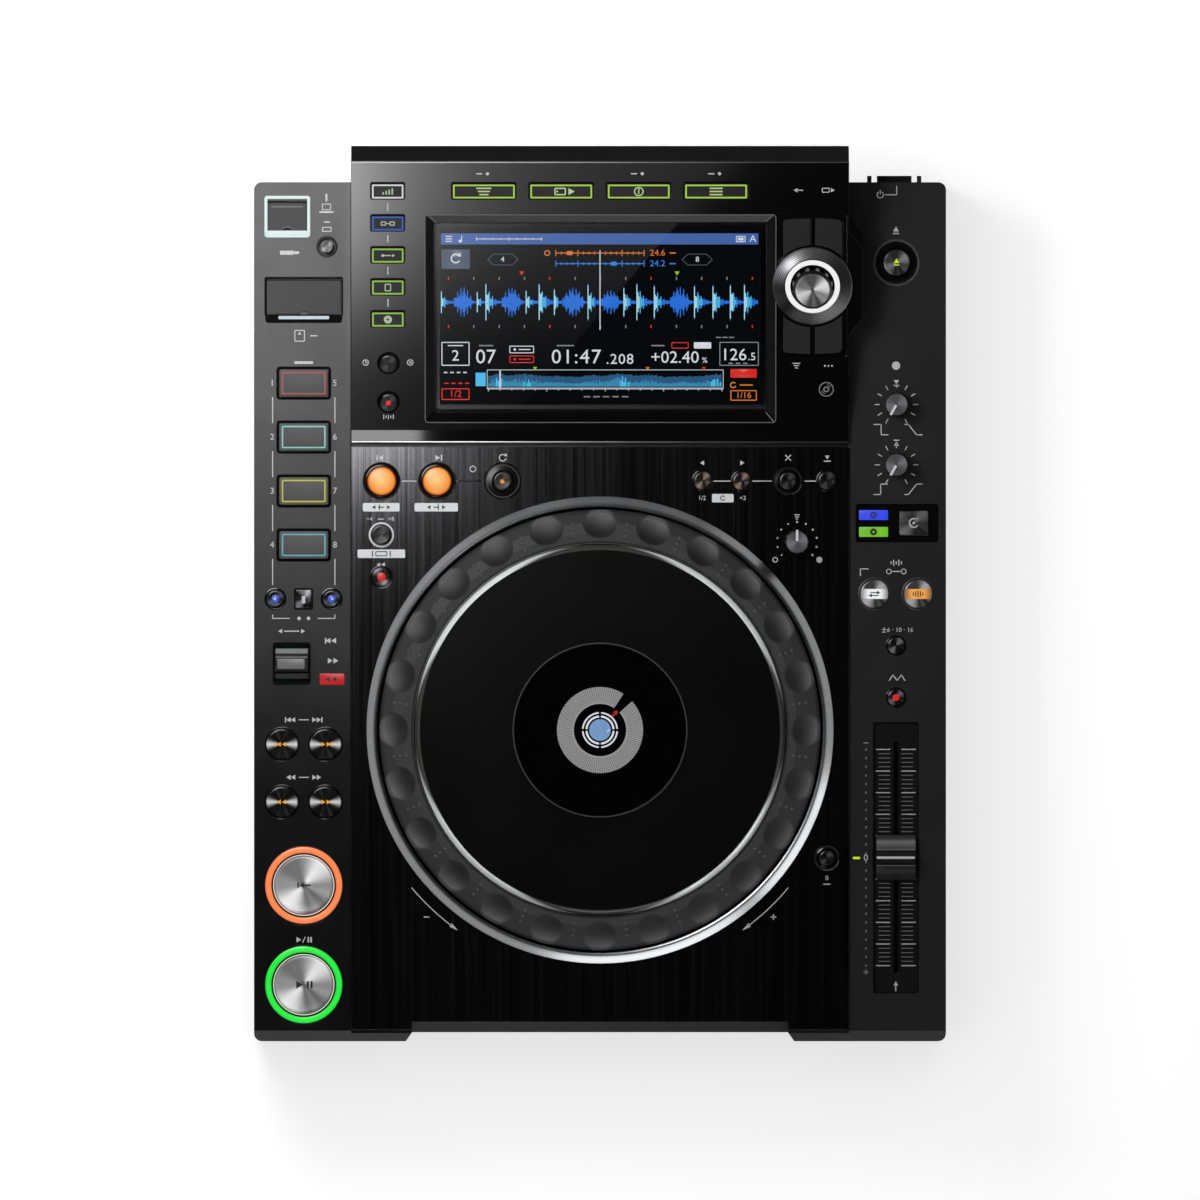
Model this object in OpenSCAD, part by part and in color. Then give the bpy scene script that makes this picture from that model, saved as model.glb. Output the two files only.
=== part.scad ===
// Tabletop disc player: a slot-in drive, a jog wheel with a fixed centre display,
// a tempo fader and a tilted screen pod, in a two-shell case with side columns.
// Origin: middle of the footprint on the table. +X right, +Y to the rear, +Z up.
// The user stands at -Y.

/* [Case] */
// Width of the case
body_w = 320; // [314:1:332]
// Depth from the front bumper to the rear of the screen pod
body_d = 414; // [410:1:424]
// Height of the screen pod's ridge above the table
body_h = 118.5; // [114:0.5:126]
// Height of the side columns' top faces
column_h = 82.5; // [81:0.5:86]
// Height that the deck plate stands above the columns
deck_rise = 1.5; // [1:0.25:2.5]
// Width of each side column, beside the deck plate
column_w = 44.8; // [44.2:0.1:45.6]
// Thickness of the case walls and skins
wall = 3; // [2.6:0.1:3.4]
// Height of the parting line between the two shells
split_h = 30; // [27:0.5:33]
// Height of the rubber feet
foot_h = 6; // [4:0.5:8]
// Radius of the rubber feet
foot_r = 13; // [10:0.5:15]
// Radius of the case's upright corners
corner_r = 3.5; // [2.5:0.5:6]
// How far the front bumper slopes outwards
bumper_d = 5.4; // [4:0.2:7]
// Height of the sloping strip of the front bumper
bumper_h = 16; // [12:1:20]
// Width of the front bumper on each side of its notch
bumper_w = 70.1; // [66:0.1:74]
// Depth of the notch in the front bumper
notch_d = 4.2; // [3:0.2:5]

/* [Disc slot] */
// Width of the disc slot
slot_w = 130; // [126:1:136]
// Height of the disc slot's opening
slot_h = 5.2; // [4.8:0.1:6]
// Height of the slot's middle above the table
slot_z = 46; // [43:0.5:48]
// Depth of the slot-in drive
drive_d = 150; // [140:1:158]

/* [Screen pod] */
// How far the pod overhangs the rear of the case
pod_overhang = 16.6; // [12:0.2:20]
// Depth of the pod, from its front ledge to its rear
pod_d = 137.2; // [136.6:0.2:138]
// Depth of the flat ledge in front of the slope
pod_ledge = 6; // [4:0.5:7]
// Margin between the glass and each side of the pod
glass_margin = 38.75; // [38.5:0.05:41]
// Length of the glass up the slope
glass_l = 90.2; // [86:0.1:90.6]
// Width of the bevelled frame around the glass
bezel_w = 4.8; // [3:0.2:5]
// Depth of the glass below the pod's slope
glass_drop = 2.4; // [1.8:0.1:2.8]

/* [Jog wheel] */
// Margin between the fixed silver rim and each side of the deck plate
rim_margin = 7; // [6.2:0.1:9.2]
// Width of the silver rim
rim_w = 5.1; // [4.6:0.1:6.5]
// Width of the grip ring and the groove inside it
grip_w = 16.3; // [14.5:0.1:18.5]
// Depth of the deck kept for the buttons behind the jog wheel and the apron before it
deck_spare = 53.2; // [52:0.1:56]
// Depth of the apron between the front of the deck plate and the rim
apron_d = 30.5; // [28:0.1:34]
// Height of the jog's top above the deck plate
jog_rise = 11; // [9:0.5:13]
// Number of finger dimples round the grip ring
dimples = 24; // [16:1:28]
// Radius of the sphere that hollows each dimple
dimple_ball_r = 13.4; // [13:0.1:14]
// Radius of the fixed display in the middle
hub_display_r = 39.7; // [38:0.1:42]
// Radius of the bearing on the centre post
bearing_r = 34; // [32:0.5:36]
// Number of slits in the encoder ring
encoder_slits = 60; // [36:4:72]

/* [Tempo fader] */
// Travel of the tempo fader
fader_travel = 100; // [80:1:100]
// Width of the fader's panel
fader_panel_w = 21.2; // [20:0.2:23]
// Length of the fader's panel
fader_panel_l = 125.6; // [124:0.2:128]
// Width of the fader's cap
cap_w = 18; // [15:0.5:19]
// Length of the fader's cap
cap_l = 20.9; // [18:0.1:22]
// Height of the fader's cap above its panel
cap_h = 11; // [8:0.5:14]

/* [Buttons and knobs] */
// Clearance round each moving cap
gap = 0.3; // [0.25:0.05:0.4]
// Travel of the push buttons
press = 1; // [0.6:0.1:1.2]
// Radius of the cue and play buttons
big_r = 13.5; // [12:0.1:14.2]
// Outer radius of the light rings of cue and play
ring_r = 18.3; // [17:0.1:19]
// Radius of the search buttons
search_r = 7.26; // [6.5:0.02:8]
// Radius of the sync buttons
sync_r = 6.7; // [6:0.1:7.4]
// Radius of the loop buttons
loop_r = 6.5; // [5.5:0.1:7.2]
// Radius of the small round buttons
small_r = 4.2; // [3.6:0.1:4.6]
// Radius of the small knobs
knob_r = 5.8; // [5:0.1:6.4]
// Height of the small knobs
knob_h = 11; // [8:0.5:13]
// Width of a hot cue pad
pad_w = 22.7; // [20:0.1:23.2]
// Length of a hot cue pad
pad_l = 12.8; // [11:0.1:14]
// Spacing of the hot cue pads
pad_pitch = 24.95; // [24:0.05:25.4]
// Radius of the selector knob
selector_r = 9.2; // [8.4:0.1:9.8]
// Radius of the dish round the selector knob
dish_r = 18.4; // [17.4:0.1:18.6]

/* [Hidden] */
$fn = 48;

// overlap of a cutter with the face it cuts through
eps = 0.1;

// case levels and edges
floor_z = foot_h;
deck_h = column_h + deck_rise;
skin_z = column_h - wall;
bed_z = skin_z - wall;
front_y = -body_d / 2;
back_y = body_d / 2;
case_back_y = back_y - pod_overhang;
side_x = body_w / 2;
deck_w = body_w - 2 * column_w;
notch_w = body_w - 2 * bumper_w;
bed_x = deck_w / 2;
bed_gap = 0.2;
column_x = bed_x + wall;

// pod profile and its sloping face
pod_front_y = back_y - pod_d;
slope_y = pod_front_y + pod_ledge;
ledge_h = deck_h + 0.5;
ridge_y = back_y - 7.2;
tilt = atan((body_h - ledge_h) / (ridge_y - slope_y));
slope_l = (ridge_y - slope_y) / cos(tilt);
rear_fall = 15;
pod_tail_h = body_h - rear_fall - 1;

// jog wheel's radii: as large as the deck plate's width and its free depth allow
deck_front_y = front_y + bumper_d;
deck_back_y = pod_front_y - 1.8;
rim_r = min(bed_x - rim_margin, (deck_back_y - deck_front_y - deck_spare) / 2);
rim_bore_r = rim_r - rim_w;
grip_r = rim_bore_r - 1.2;
top_plate_r = grip_r - grip_w;
glass_w = deck_w - 2 * glass_margin;

// places along the depth are set out on a plan of this depth, and move apart or together with the case
plan_d = 414;
function from_front(d) = front_y + d * body_d / plan_d;
function from_back(d) = back_y - d * body_d / plan_d;

// plan places of the controls: columns from the sides, rows from the front or the rear edge
left_x = 23 - side_x;
right_x = side_x - 23.1;
pair_dx = 10.05;
cue_at = [left_x, from_front(72.3)];
play_at = [left_x, from_front(26.3)];
track_at = [left_x, from_front(137.5)];
search_at = [left_x, from_front(110.8)];
lever_at = [left_x - 5.6, from_front(174.8)];
bank_at = [left_x, from_back(209.3)];
pads_at = [left_x, from_back(109.5)];
pad_step = pad_pitch * body_d / plan_d;
sd_at = [left_x, from_back(69.5)];
usb_at = [left_x - 7.6, from_back(32.5)];
usb_stop_at = [left_x + 10.7, from_back(46.4)];
eject_at = [right_x + 0.2, from_back(53.8)];
touch_at = [right_x + 0.2, from_back(119.4)];
release_at = [right_x + 0.2, from_back(147.3)];
jog_mode_at = [right_x + 8.2, from_back(174.3)];
sync_at = [right_x - pair_dx, from_back(207)];
master_at = [right_x + pair_dx, from_back(207)];
range_at = [right_x, from_front(183.1)];
fader_at = [right_x, from_front(85.1)];
key_lock_at = [right_x, fader_at[1] + fader_panel_l / 2 + 11.2];
power_at = [side_x - 23.9, case_back_y];
jog_at = [0, deck_front_y + apron_d + rim_r];
reset_at = [bed_x - 10.3, front_y + 84.8];
row_y = back_y - 154.8;
loop_in_at = [14.2 - bed_x, row_y];
loop_out_at = [39.8 - bed_x, row_y];
reloop_at = [70.2 - bed_x, row_y];
beat_at = [14.1 - bed_x, back_y - 179.7];
slip_at = [14.1 - bed_x, back_y - 199.3];
call_at = [[bed_x - 67.7, row_y], [bed_x - 49.7, row_y]];
delete_at = [bed_x - 28.2, row_y];
memory_at = [bed_x - 10.1, row_y];
adjust_at = [bed_x - 24.1, back_y - 183];

// places on the pod's slope, measured up it from its lower edge
browse_pitch = glass_w / 4 - 2.5;
browse_x = [for (i = [-1.5:1:1.5]) i * browse_pitch];
browse_up = slope_l - 14.2;
source_x = 17.2 - bed_x;
source_pitch = 15.3;
time_at = [17.4 - bed_x, slope_l - 96.5];
quantize_at = [17.4 - bed_x, slope_l - 115.1];
selector_at = [bed_x - 17, slope_l - 59.5];
glass_at = [0.2, slope_l - 75.3];
browse_size = [browse_pitch - 6.2, 7.6];
source_size = [15.4, 7.6];
glass_size = [glass_w, glass_l];
lcd_size = glass_size - [4.3, 6.2];
pad_size = [pad_w, pad_l];
dish_w = 5.6;
channel_w = 32.8;
channel_l = 68.6;
channel_drop = 1;

// jog levels, from the well's floor upwards
well_wall = 2.4;
well_r = rim_r - 3.2;
well_z = slot_z + 14;
well_floor_z = well_z + 2.5;
jog_top = deck_h + jog_rise;
rim_top = deck_h + jog_rise * 0.41;
rim_foot = 0.9;
web_z = skin_z - 0.2;
web_t = 2.8;
seat_z = web_z + web_t;
post_r = bearing_r - 6;
post_flange_t = 2.5;
post_flange_w = 16;
cable_r = 8;
post_head_t = 4;
display_t = 4.6;
display_z = jog_top - 0.4 - display_t;
bearing_z0 = well_floor_z + post_flange_t;
bearing_z1 = seat_z - 1;
encoder_r = grip_r - 4;
encoder_h = 6;

// circuit boards and the switch gear under the panels
board_t = 1.6;
board_z = column_h - 16.5;
board_top = board_z + board_t;
flange_t = 1.3;
flange_w = 1.2;
stem_r = 1.6;
knob_shaft_r = 3;
main_board_z = floor_z + 10;
boss_r = 5;
screw_r = 1.6;

// rear panel and its sockets
panel_t = 1.5;
panel_w = 228;
panel_z = [split_h + 2, skin_z - 4];
panel_y = case_back_y - wall - panel_t;
panel_rim = 3;
inlet_at = [92, split_h + 20];
lan_at = [44, split_h + 18];
usb_b_at = [18, split_h + 18];
jack_at = [-8, split_h + 18];
coax_at = [-36, split_h + 18];
rca_at = [[-64, split_h + 18], [-86, split_h + 18]];
inlet_hole = [27.4, 20];
inlet_cavity = [24.4, 16.4, 15];
lan_hole = [16, 13.6];
lan_cavity = [11.8, 8.2, 13];
usb_b_hole = [12, 10.8];
rca_r = 4.15;

// A run of points along an arc, for the corners of outlines
function arc_points(c, r, a0, a1, n = 5) =
  [for (i = [0:n]) let (a = a0 + (a1 - a0) * i / n) [c[0] + r * cos(a), c[1] + r * sin(a)]];

// Outline of a rectangle with rounded corners, w wide and l long
function rounded_points(w, l, r, n = 5) = concat(
  arc_points([w / 2 - r, l / 2 - r], r, 0, 90, n),
  arc_points([r - w / 2, l / 2 - r], r, 90, 180, n),
  arc_points([r - w / 2, r - l / 2], r, 180, 270, n),
  arc_points([w / 2 - r, r - l / 2], r, 270, 360, n));

// A rounded block on the plane z = z0, centred on its own plan
module block(size, r, z0, z1, n = 5) {
  translate([0, 0, z0])
    linear_extrude(z1 - z0)
      polygon(rounded_points(size[0], size[1], r, n));
}

// A plain box from one corner to the opposite one
module box(a, b) {
  translate(a)
    cube(b - a);
}

// A tube between two levels
module ring(r0, r1, z0, z1) {
  translate([0, 0, z0])
    difference() {
      cylinder(h = z1 - z0, r = r1);
      translate([0, 0, -eps])
        cylinder(h = z1 - z0 + 2 * eps, r = r0);
    }
}

// Moves children to a plan place
module at(p, z = 0) {
  translate([p[0], p[1], z])
    children();
}

// Moves children onto the pod's slope: y runs up the slope, z stands square to it
module on_slope(p = [0, 0], h = 0) {
  translate([0, slope_y, ledge_h])
    rotate([tilt, 0, 0])
      translate([p[0], p[1], h])
        children();
}

// Moves children onto the rear panel: x runs along it, y up, z points out to the rear
module on_rear(p, out = 0) {
  translate([p[0], panel_y + panel_t + out, p[1]])
    rotate([90, 0, 180])
      children();
}

// Plan outline of the case, drawn in by an inset all round
module case_outline(inset = 0) {
  w = side_x - inset;
  r = max(corner_r - inset, 0.6);
  y0 = front_y + inset;
  y1 = case_back_y - inset;
  n0 = notch_w / 2 + inset;
  n1 = n0 - notch_lean;
  polygon(concat(
    arc_points([w - r, y1 - r], r, 0, 90),
    arc_points([r - w, y1 - r], r, 90, 180),
    arc_points([r - w, y0 + r], r, 180, 270),
    [[-n0, y0], [-n1, y0 + notch_d], [n1, y0 + notch_d], [n0, y0]],
    arc_points([w - r, y0 + r], r, 270, 360)));
}

// Cuts the sloping strip along the front: full width on the bumper, deeper inside the notch
module front_slope_cut() {
  slope = bumper_h;
  translate([-side_x - 5, 0, 0])
    rotate([90, 0, 90])
      linear_extrude(body_w + 10)
        polygon([[front_y - 2, deck_h - slope], [front_y, deck_h - slope],
          [front_y + bumper_d, deck_h], [front_y + bumper_d, deck_h + 5], [front_y - 2, deck_h + 5]]);
  notch_y = front_y + notch_d;
  half = notch_w / 2 - notch_lean;
  translate([-half, 0, 0])
    rotate([90, 0, 90])
      linear_extrude(2 * half)
        polygon([[notch_y - 2, deck_h - slope + 2], [notch_y, deck_h - slope + 2],
          [notch_y + scoop_d, skin_z], [notch_y + scoop_d, deck_h + 5], [notch_y - 2, deck_h + 5]]);
}

// The scoop in the deck plate's front edge, over the notch: leaning ends with rounded corners
notch_lean = 3;
scoop_d = 4.8;
scoop_r = 4;
module scoop_cut() {
  half = notch_w / 2 - notch_lean;
  notch_y = front_y + notch_d;
  a = atan(notch_lean / notch_d);
  yc = notch_y + scoop_d - scoop_r;
  xc = half - (yc + scoop_r * sin(a) - notch_y) * notch_lean / notch_d - scoop_r * cos(a);
  translate([0, 0, bed_z])
    linear_extrude(deck_h - bed_z + 1)
      polygon(concat(
        [[-half - notch_lean, front_y], [half + notch_lean, front_y]],
        arc_points([xc, yc], scoop_r, a, 90),
        arc_points([-xc, yc], scoop_r, 90, 180 - a)));
}

// Round controls of the columns: place and cap radius
column_round = concat(
  [[cue_at, big_r], [play_at, big_r], [eject_at, 6.2], [usb_stop_at, 3.5]],
  [for (s = [-1, 1]) [[track_at[0] + s * pair_dx, track_at[1]], search_r]],
  [for (s = [-1, 1]) [[search_at[0] + s * pair_dx, search_at[1]], search_r]],
  [for (s = [-1, 1]) [[bank_at[0] + s * 13, bank_at[1]], small_r]],
  [[sync_at, sync_r], [master_at, sync_r], [range_at, small_r - 0.2], [key_lock_at, small_r - 0.2]]);

// Round controls of the deck plate: place and cap radius
deck_round = concat(
  [[loop_in_at, loop_r], [loop_out_at, loop_r], [reloop_at, small_r + 0.2]],
  [[beat_at, small_r + 0.6], [slip_at, small_r + 0.4], [reset_at, 3.7]],
  [[call_at[0], small_r], [call_at[1], small_r], [delete_at, small_r], [memory_at, small_r]]);

// Knobs: place of each shaft, on the columns and on the deck
column_knobs = [touch_at, release_at];

// Corners of the control boards, [x0, y0], [x1, y1]
left_board = [[-side_x + 6, front_y + 12], [-column_x - 1, back_y - 22]];
right_board = [[column_x + 1, front_y + 12], [side_x - 6, back_y - 40]];
row_board = [[6 - bed_x, row_y - 5], [bed_x - 6, row_y + 13]];
board_inset = 4;
row_posts = [for (x = [15.2 - bed_x, -30, 30, bed_x - 15.2]) [x, row_y + 10.7]];

// Places of the posts that hold a board
function board_posts(b) =
  [for (x = [b[0][0] + board_inset, b[1][0] - board_inset]) for (y = [b[0][1] + 1.2, b[1][1] - 1.2]) [x, y]];

// Places of the long case screws
screw_x = side_x - wall - 4;
screw_at = [for (s = [-1, 1]) for (y = [front_y + 49.5, jog_at[1] + 25, case_back_y - 50, case_back_y - 10])
  [s * screw_x, y]];
foot_at = [for (s = [-1, 1]) for (y = [front_y + 38, case_back_y - 36]) [s * (side_x - 30), y]];

module lower_case() {
  lip = wall / 2;
  color("#1b1c1e")
    difference() {
      union() {
        translate([0, 0, floor_z])
          linear_extrude(split_h - floor_z)
            case_outline();
        translate([0, 0, split_h - eps])
          linear_extrude(2 + eps)
            case_outline(lip);
      }
      difference() {
        translate([0, 0, floor_z + wall])
          linear_extrude(split_h)
            case_outline(wall);
        for (p = screw_at)
          at(p, floor_z)
            cylinder(h = split_h - floor_z, r = boss_r);
      }
      for (p = screw_at)
        at(p, floor_z - eps) {
          cylinder(h = split_h, r = screw_r + 0.1);
          cylinder(h = 8, r = 3.4);
        }
      lower_vents();
      front_toe_cut();
    }
}

// Rows of cooling slots through the floor
module lower_vents() {
  for (x = [-60:20:60])
    for (y = [-40, 40, 110])
      at([x, y], floor_z - eps)
        block([3, 34], 1.4, 0, wall + 2 * eps, 3);
}

// Draws the front wall in towards the table
module front_toe_cut() {
  translate([-side_x - 5, 0, 0])
    rotate([90, 0, 90])
      linear_extrude(body_w + 10)
        polygon([[front_y - 1, floor_z - 1], [front_y + 4, floor_z - 1], [front_y + 4, floor_z],
          [front_y, floor_z + 9], [front_y - 1, floor_z + 9]]);
}

module upper_case() {
  color("#232427")
    difference() {
      union() {
        difference() {
          translate([0, 0, split_h])
            linear_extrude(column_h - split_h)
              case_outline();
          case_hollow();
        }
        jog_well();
        case_bosses();
        power_guards();
        lever_ears();
      }
      deck_bed();
      front_slope_cut();
      lip_groove();
      disc_slot_cut();
      rear_window();
      column_cuts();
      bed_cuts();
    }
}

// The space inside the upper case: deep under the columns, shallower under the deck bed,
// and stepped back behind the sloping strip, so that the front wall keeps its thickness
module case_hollow() {
  step_z = deck_h - bumper_h - wall;
  step_y = front_y + max(bumper_d, notch_d + scoop_d) + 1.4;
  translate([0, 0, split_h - eps])
    linear_extrude(step_z - split_h + eps)
      case_outline(wall);
  intersection() {
    translate([0, 0, step_z - eps])
      linear_extrude(bed_z - step_z + eps)
        case_outline(wall);
    box([-side_x, step_y, step_z - 1], [side_x, back_y, column_h]);
  }
  for (s = [-1, 1])
    intersection() {
      translate([0, 0, bed_z - eps])
        linear_extrude(skin_z - bed_z + eps)
          case_outline(wall);
      box([s > 0 ? column_x : -side_x, step_y, bed_z - 1], [s > 0 ? side_x : -column_x, back_y, skin_z]);
    }
}

// The shallow bed that the deck plate and the pod stand in
module deck_bed() {
  box([-bed_x, front_y - 1, skin_z], [bed_x, case_back_y + 1, column_h + 2]);
}

// The round well under the jog wheel, with a hole for the cable of its display
module jog_well() {
  at(jog_at) {
    ring(well_r, well_r + well_wall, well_z, bed_z + eps);
    ring(cable_r - 2, well_r + well_wall, well_z, well_floor_z);
  }
}

// Screw bosses along the walls, and posts that carry the control boards
module case_bosses() {
  for (p = screw_at)
    intersection() {
      at(p, split_h + 2)
        cylinder(h = 30, r = boss_r);
      translate([0, 0, split_h])
        linear_extrude(body_h)
          case_outline(wall / 2);
    }
  for (b = [left_board, right_board])
    for (p = board_posts(b))
      at(p, board_top)
        cylinder(h = skin_z - board_top + eps, r = 2.2);
  for (p = row_posts)
    at(p, board_top)
      cylinder(h = bed_z - board_top + eps, r = 2.2);
}

// Two ribs that guard the power switch against knocks
module power_guards() {
  for (s = [-1, 1])
    at([power_at[0] + s * 11.5, case_back_y - eps], column_h - 16)
      translate([-1, 0, 0])
        cube([2, 3 + eps, 13]);
}

module lip_groove() {
  translate([0, 0, split_h - eps])
    linear_extrude(2.2 + eps)
      difference() {
        case_outline(wall / 2 - 0.15);
        case_outline(wall + 1);
      }
  for (p = screw_at)
    at(p, split_h)
      cylinder(h = 28, r = screw_r);
}

module disc_slot_cut() {
  translate([0, front_y + notch_d, slot_z])
    rotate([90, 0, 0])
      block([slot_w, slot_h], slot_h / 2 - 0.05, -wall - eps, notch_d + eps, 6);
  hull() {
    translate([0, front_y + notch_d, slot_z])
      rotate([90, 0, 0])
        block([slot_w + 6, slot_h + 6], slot_h / 2 + 2, 0, eps, 6);
    translate([0, front_y + notch_d + 1.4, slot_z])
      rotate([90, 0, 0])
        block([slot_w, slot_h], slot_h / 2, 0, eps, 6);
  }
}

// Opening in the rear wall, in front of the socket panel
module rear_window() {
  box([-panel_w / 2 + panel_rim, case_back_y - wall - eps, panel_z[0] + panel_rim],
    [panel_w / 2 - panel_rim, case_back_y + eps, panel_z[1] - panel_rim]);
  at([power_at[0], case_back_y - wall / 2], column_h - 9.5)
    cube([16 + 2 * gap, wall + 2 * eps, 8 + 2 * gap], center = true);
  for (i = [0:8])
    box([-side_x + 8 + 4 * i, case_back_y - wall - eps, split_h + 8],
      [-side_x + 10 + 4 * i, case_back_y + eps, split_h + 30]);
}

// Door openings: centre and size in plan
usb_door = [18.2, 14.5];
sd_door_size = [34.8, 16.6];
door_t = 2.2;
door_pin_r = 0.7;
door_axis_z = column_h - 1.4;
lever_hole = [16.5, 18.6];
mode_cap = [13.4, 11.4];
mode_recess = [38.3, 17.6];
mode_recess_x = -7.6;
bank_cap = [7.5, 8.6];
ring_seat = 1.5;

// Everything that passes through, or is sunk into, the tops of the columns
module column_cuts() {
  z0 = bed_z - eps;
  z1 = column_h + eps;
  for (c = column_round)
    at(c[0], z0)
      cylinder(h = z1 - z0, r = c[1] + gap);
  for (p = [cue_at, play_at])
    at(p, column_h - ring_seat)
      cylinder(h = 5, r = ring_r + 0.1);
  for (p = column_knobs)
    at(p, z0)
      cylinder(h = z1 - z0, r = knob_shaft_r + gap);
  for (i = [0:3])
    at([pads_at[0], pads_at[1] - i * pad_step])
      block(pad_size + [2 * gap, 2 * gap], 1.2, z0, z1, 3);
  at(bank_at)
    block(bank_cap + [2 * gap, 2 * gap], 1, z0, z1, 3);
  at(lever_at)
    block(lever_hole, 1.5, z0, z1, 3);
  at(jog_mode_at) {
    block(mode_cap + [2 * gap, 2 * gap], 1, z0, z1, 3);
    translate([mode_recess_x, 0, 0])
      block(mode_recess, 1.5, column_h - 0.8, z1, 3);
  }
  at(usb_at)
    door_cut(usb_door);
  at(sd_at)
    door_cut(sd_door_size);
  at(fader_at)
    block([fader_panel_w, fader_panel_l], 0.8, z0, z1, 3);
}

// Opening for a hinged door, with the blind holes of its two hinge pins
module door_cut(size) {
  block(size, 0.6, bed_z, column_h + eps, 2);
  translate([-size[0] / 2 - 1.6, size[1] / 2 - 1.4, door_axis_z])
    rotate([0, 90, 0])
      cylinder(h = size[0] + 3.2, r = door_pin_r + 0.2);
}

// Everything that passes through the bed under the deck plate and the pod
module bed_cuts() {
  cable_gate = glass_w / 2 - 6.45;
  z0 = bed_z - eps;
  z1 = skin_z + eps;
  at(jog_at, z0)
    cylinder(h = z1 - z0, r = well_r, $fn = 96);
  for (c = deck_round)
    at(c[0], z0)
      cylinder(h = z1 - z0, r = c[1] + flange_w + 0.6);
  at(adjust_at, z0)
    cylinder(h = z1 - z0, r = knob_shaft_r + gap);
  box([-cable_gate, pod_front_y + 26, z0], [cable_gate, case_back_y - 22, z1]);
}

// Plan of the deck plate, drawn in by an inset all round
module deck_outline(inset = 0) {
  w = bed_x - bed_gap - inset;
  y0 = deck_front_y + inset;
  y1 = deck_back_y - inset;
  polygon([[w, y0], [w, y1], [-w, y1], [-w, y0]]);
}

module deck_plate() {
  top_t = 2.5;
  rib_w = 8;
  color("#101113")
    difference() {
      translate([0, 0, skin_z])
        linear_extrude(deck_h - skin_z)
          deck_outline();
      difference() {
        translate([0, 0, skin_z - eps])
          linear_extrude(deck_h - top_t - skin_z + eps)
            deck_outline(rib_w);
        for (c = deck_round)
          at(c[0], skin_z)
            cylinder(h = 5, r = c[1] + 3.2);
        at(adjust_at, skin_z)
          cylinder(h = 5, r = knob_r + 1.2);
        at(jog_at, skin_z)
          cylinder(h = 5, r = rim_r + 0.6, $fn = 96);
      }
      at(jog_at, skin_z - eps)
        cylinder(h = 5, r = well_r, $fn = 96);
      for (c = deck_round)
        at(c[0], skin_z - eps)
          cylinder(h = 5, r = c[1] + gap);
      at(adjust_at, skin_z - eps)
        cylinder(h = 5, r = knob_shaft_r + gap);
      front_slope_cut();
      scoop_cut();
    }
}

// Side profile of the pod, in the plane across the case, drawn in by t on its upper faces
module pod_profile(t = 0) {
  up = t / cos(tilt);
  if (t == 0)
    polygon([[pod_front_y, skin_z], [pod_front_y, ledge_h], [slope_y, ledge_h], [ridge_y, body_h],
      [back_y, body_h - rear_fall], [back_y, pod_tail_h], [case_back_y + 0.3, ledge_h - 1],
      [case_back_y + 0.3, skin_z]]);
  else
    polygon([[pod_front_y + 10, skin_z - 1], [pod_front_y + 10, ledge_h + 4 * tan(tilt) - up],
      [ridge_y - t, body_h - t * tan(tilt) - up], [back_y - t - 0.3, pod_tail_h + 0.8],
      [case_back_y - t, ledge_h + t], [case_back_y - t, skin_z - 1]]);
}

// The pod's profile as a solid between two planes across the case
module pod_solid(x0, x1, t = 0) {
  translate([x0, 0, 0])
    rotate([90, 0, 90])
      linear_extrude(x1 - x0)
        pod_profile(t);
}

// Depths below the slope of the glass and the lit panel behind it
glass_t = 1.8;
lcd_t = 2.5;
lcd_gap = 0.05;
screen_block_l = glass_l + 2 * bezel_w + 4;

module display_housing() {
  pod_x = bed_x - bed_gap;
  block_w = glass_w + 2 * bezel_w;
  block_deep = glass_drop + glass_t + lcd_t + 1.2;
  color("#0c0d0f")
    difference() {
      union() {
        pod_solid(-pod_x, pod_x);
        selector_bulge(pod_x);
        on_slope(selector_at)
          selector_dish();
      }
      difference() {
        pod_solid(wall - pod_x, pod_x - wall, wall);
        on_slope(glass_at)
          block([block_w, screen_block_l], 2, -block_deep, 2, 3);
        on_slope(selector_at)
          cylinder(h = 20, r = 9, center = true);
      }
      screen_cut();
      pod_key_cuts();
    }
}

// The bulge on the pod's side that carries the outer part of the selector's dish
module selector_bulge(pod_x) {
  out = selector_at[0] + dish_r + 4.6 - pod_x;
  difference() {
    on_slope([pod_x, selector_at[1]], -40)
      linear_extrude(40)
        polygon([[-2, -24], [0, -24], [out, -16], [out, 18], [0, 26], [-2, 26]]);
    box([0, front_y, 0], [side_x, back_y, column_h]);
  }
}

// The raised dish round the selector's knob, turned in one profile
module selector_dish() {
  r0 = dish_r - dish_w;
  rotate_extrude()
    polygon([[r0, -0.5], [r0, 2.2], [r0 + 0.6, 2.6], [dish_r - 1.6, 1.6], [dish_r - 0.5, 1.4],
      [dish_r, 0.8], [dish_r, -0.5]]);
}

// The bevelled window in front of the glass, and the seats of the glass and the lit panel
module screen_cut() {
  on_slope(glass_at) {
    hull() {
      block(glass_size + 2 * [bezel_w, bezel_w], 1.5, 0, 1, 3);
      block(glass_size + [1, 1], 0.8, -glass_drop, 1 - glass_drop, 3);
    }
    block(glass_size, 0.6, -30, 0, 2);
  }
}

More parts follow.
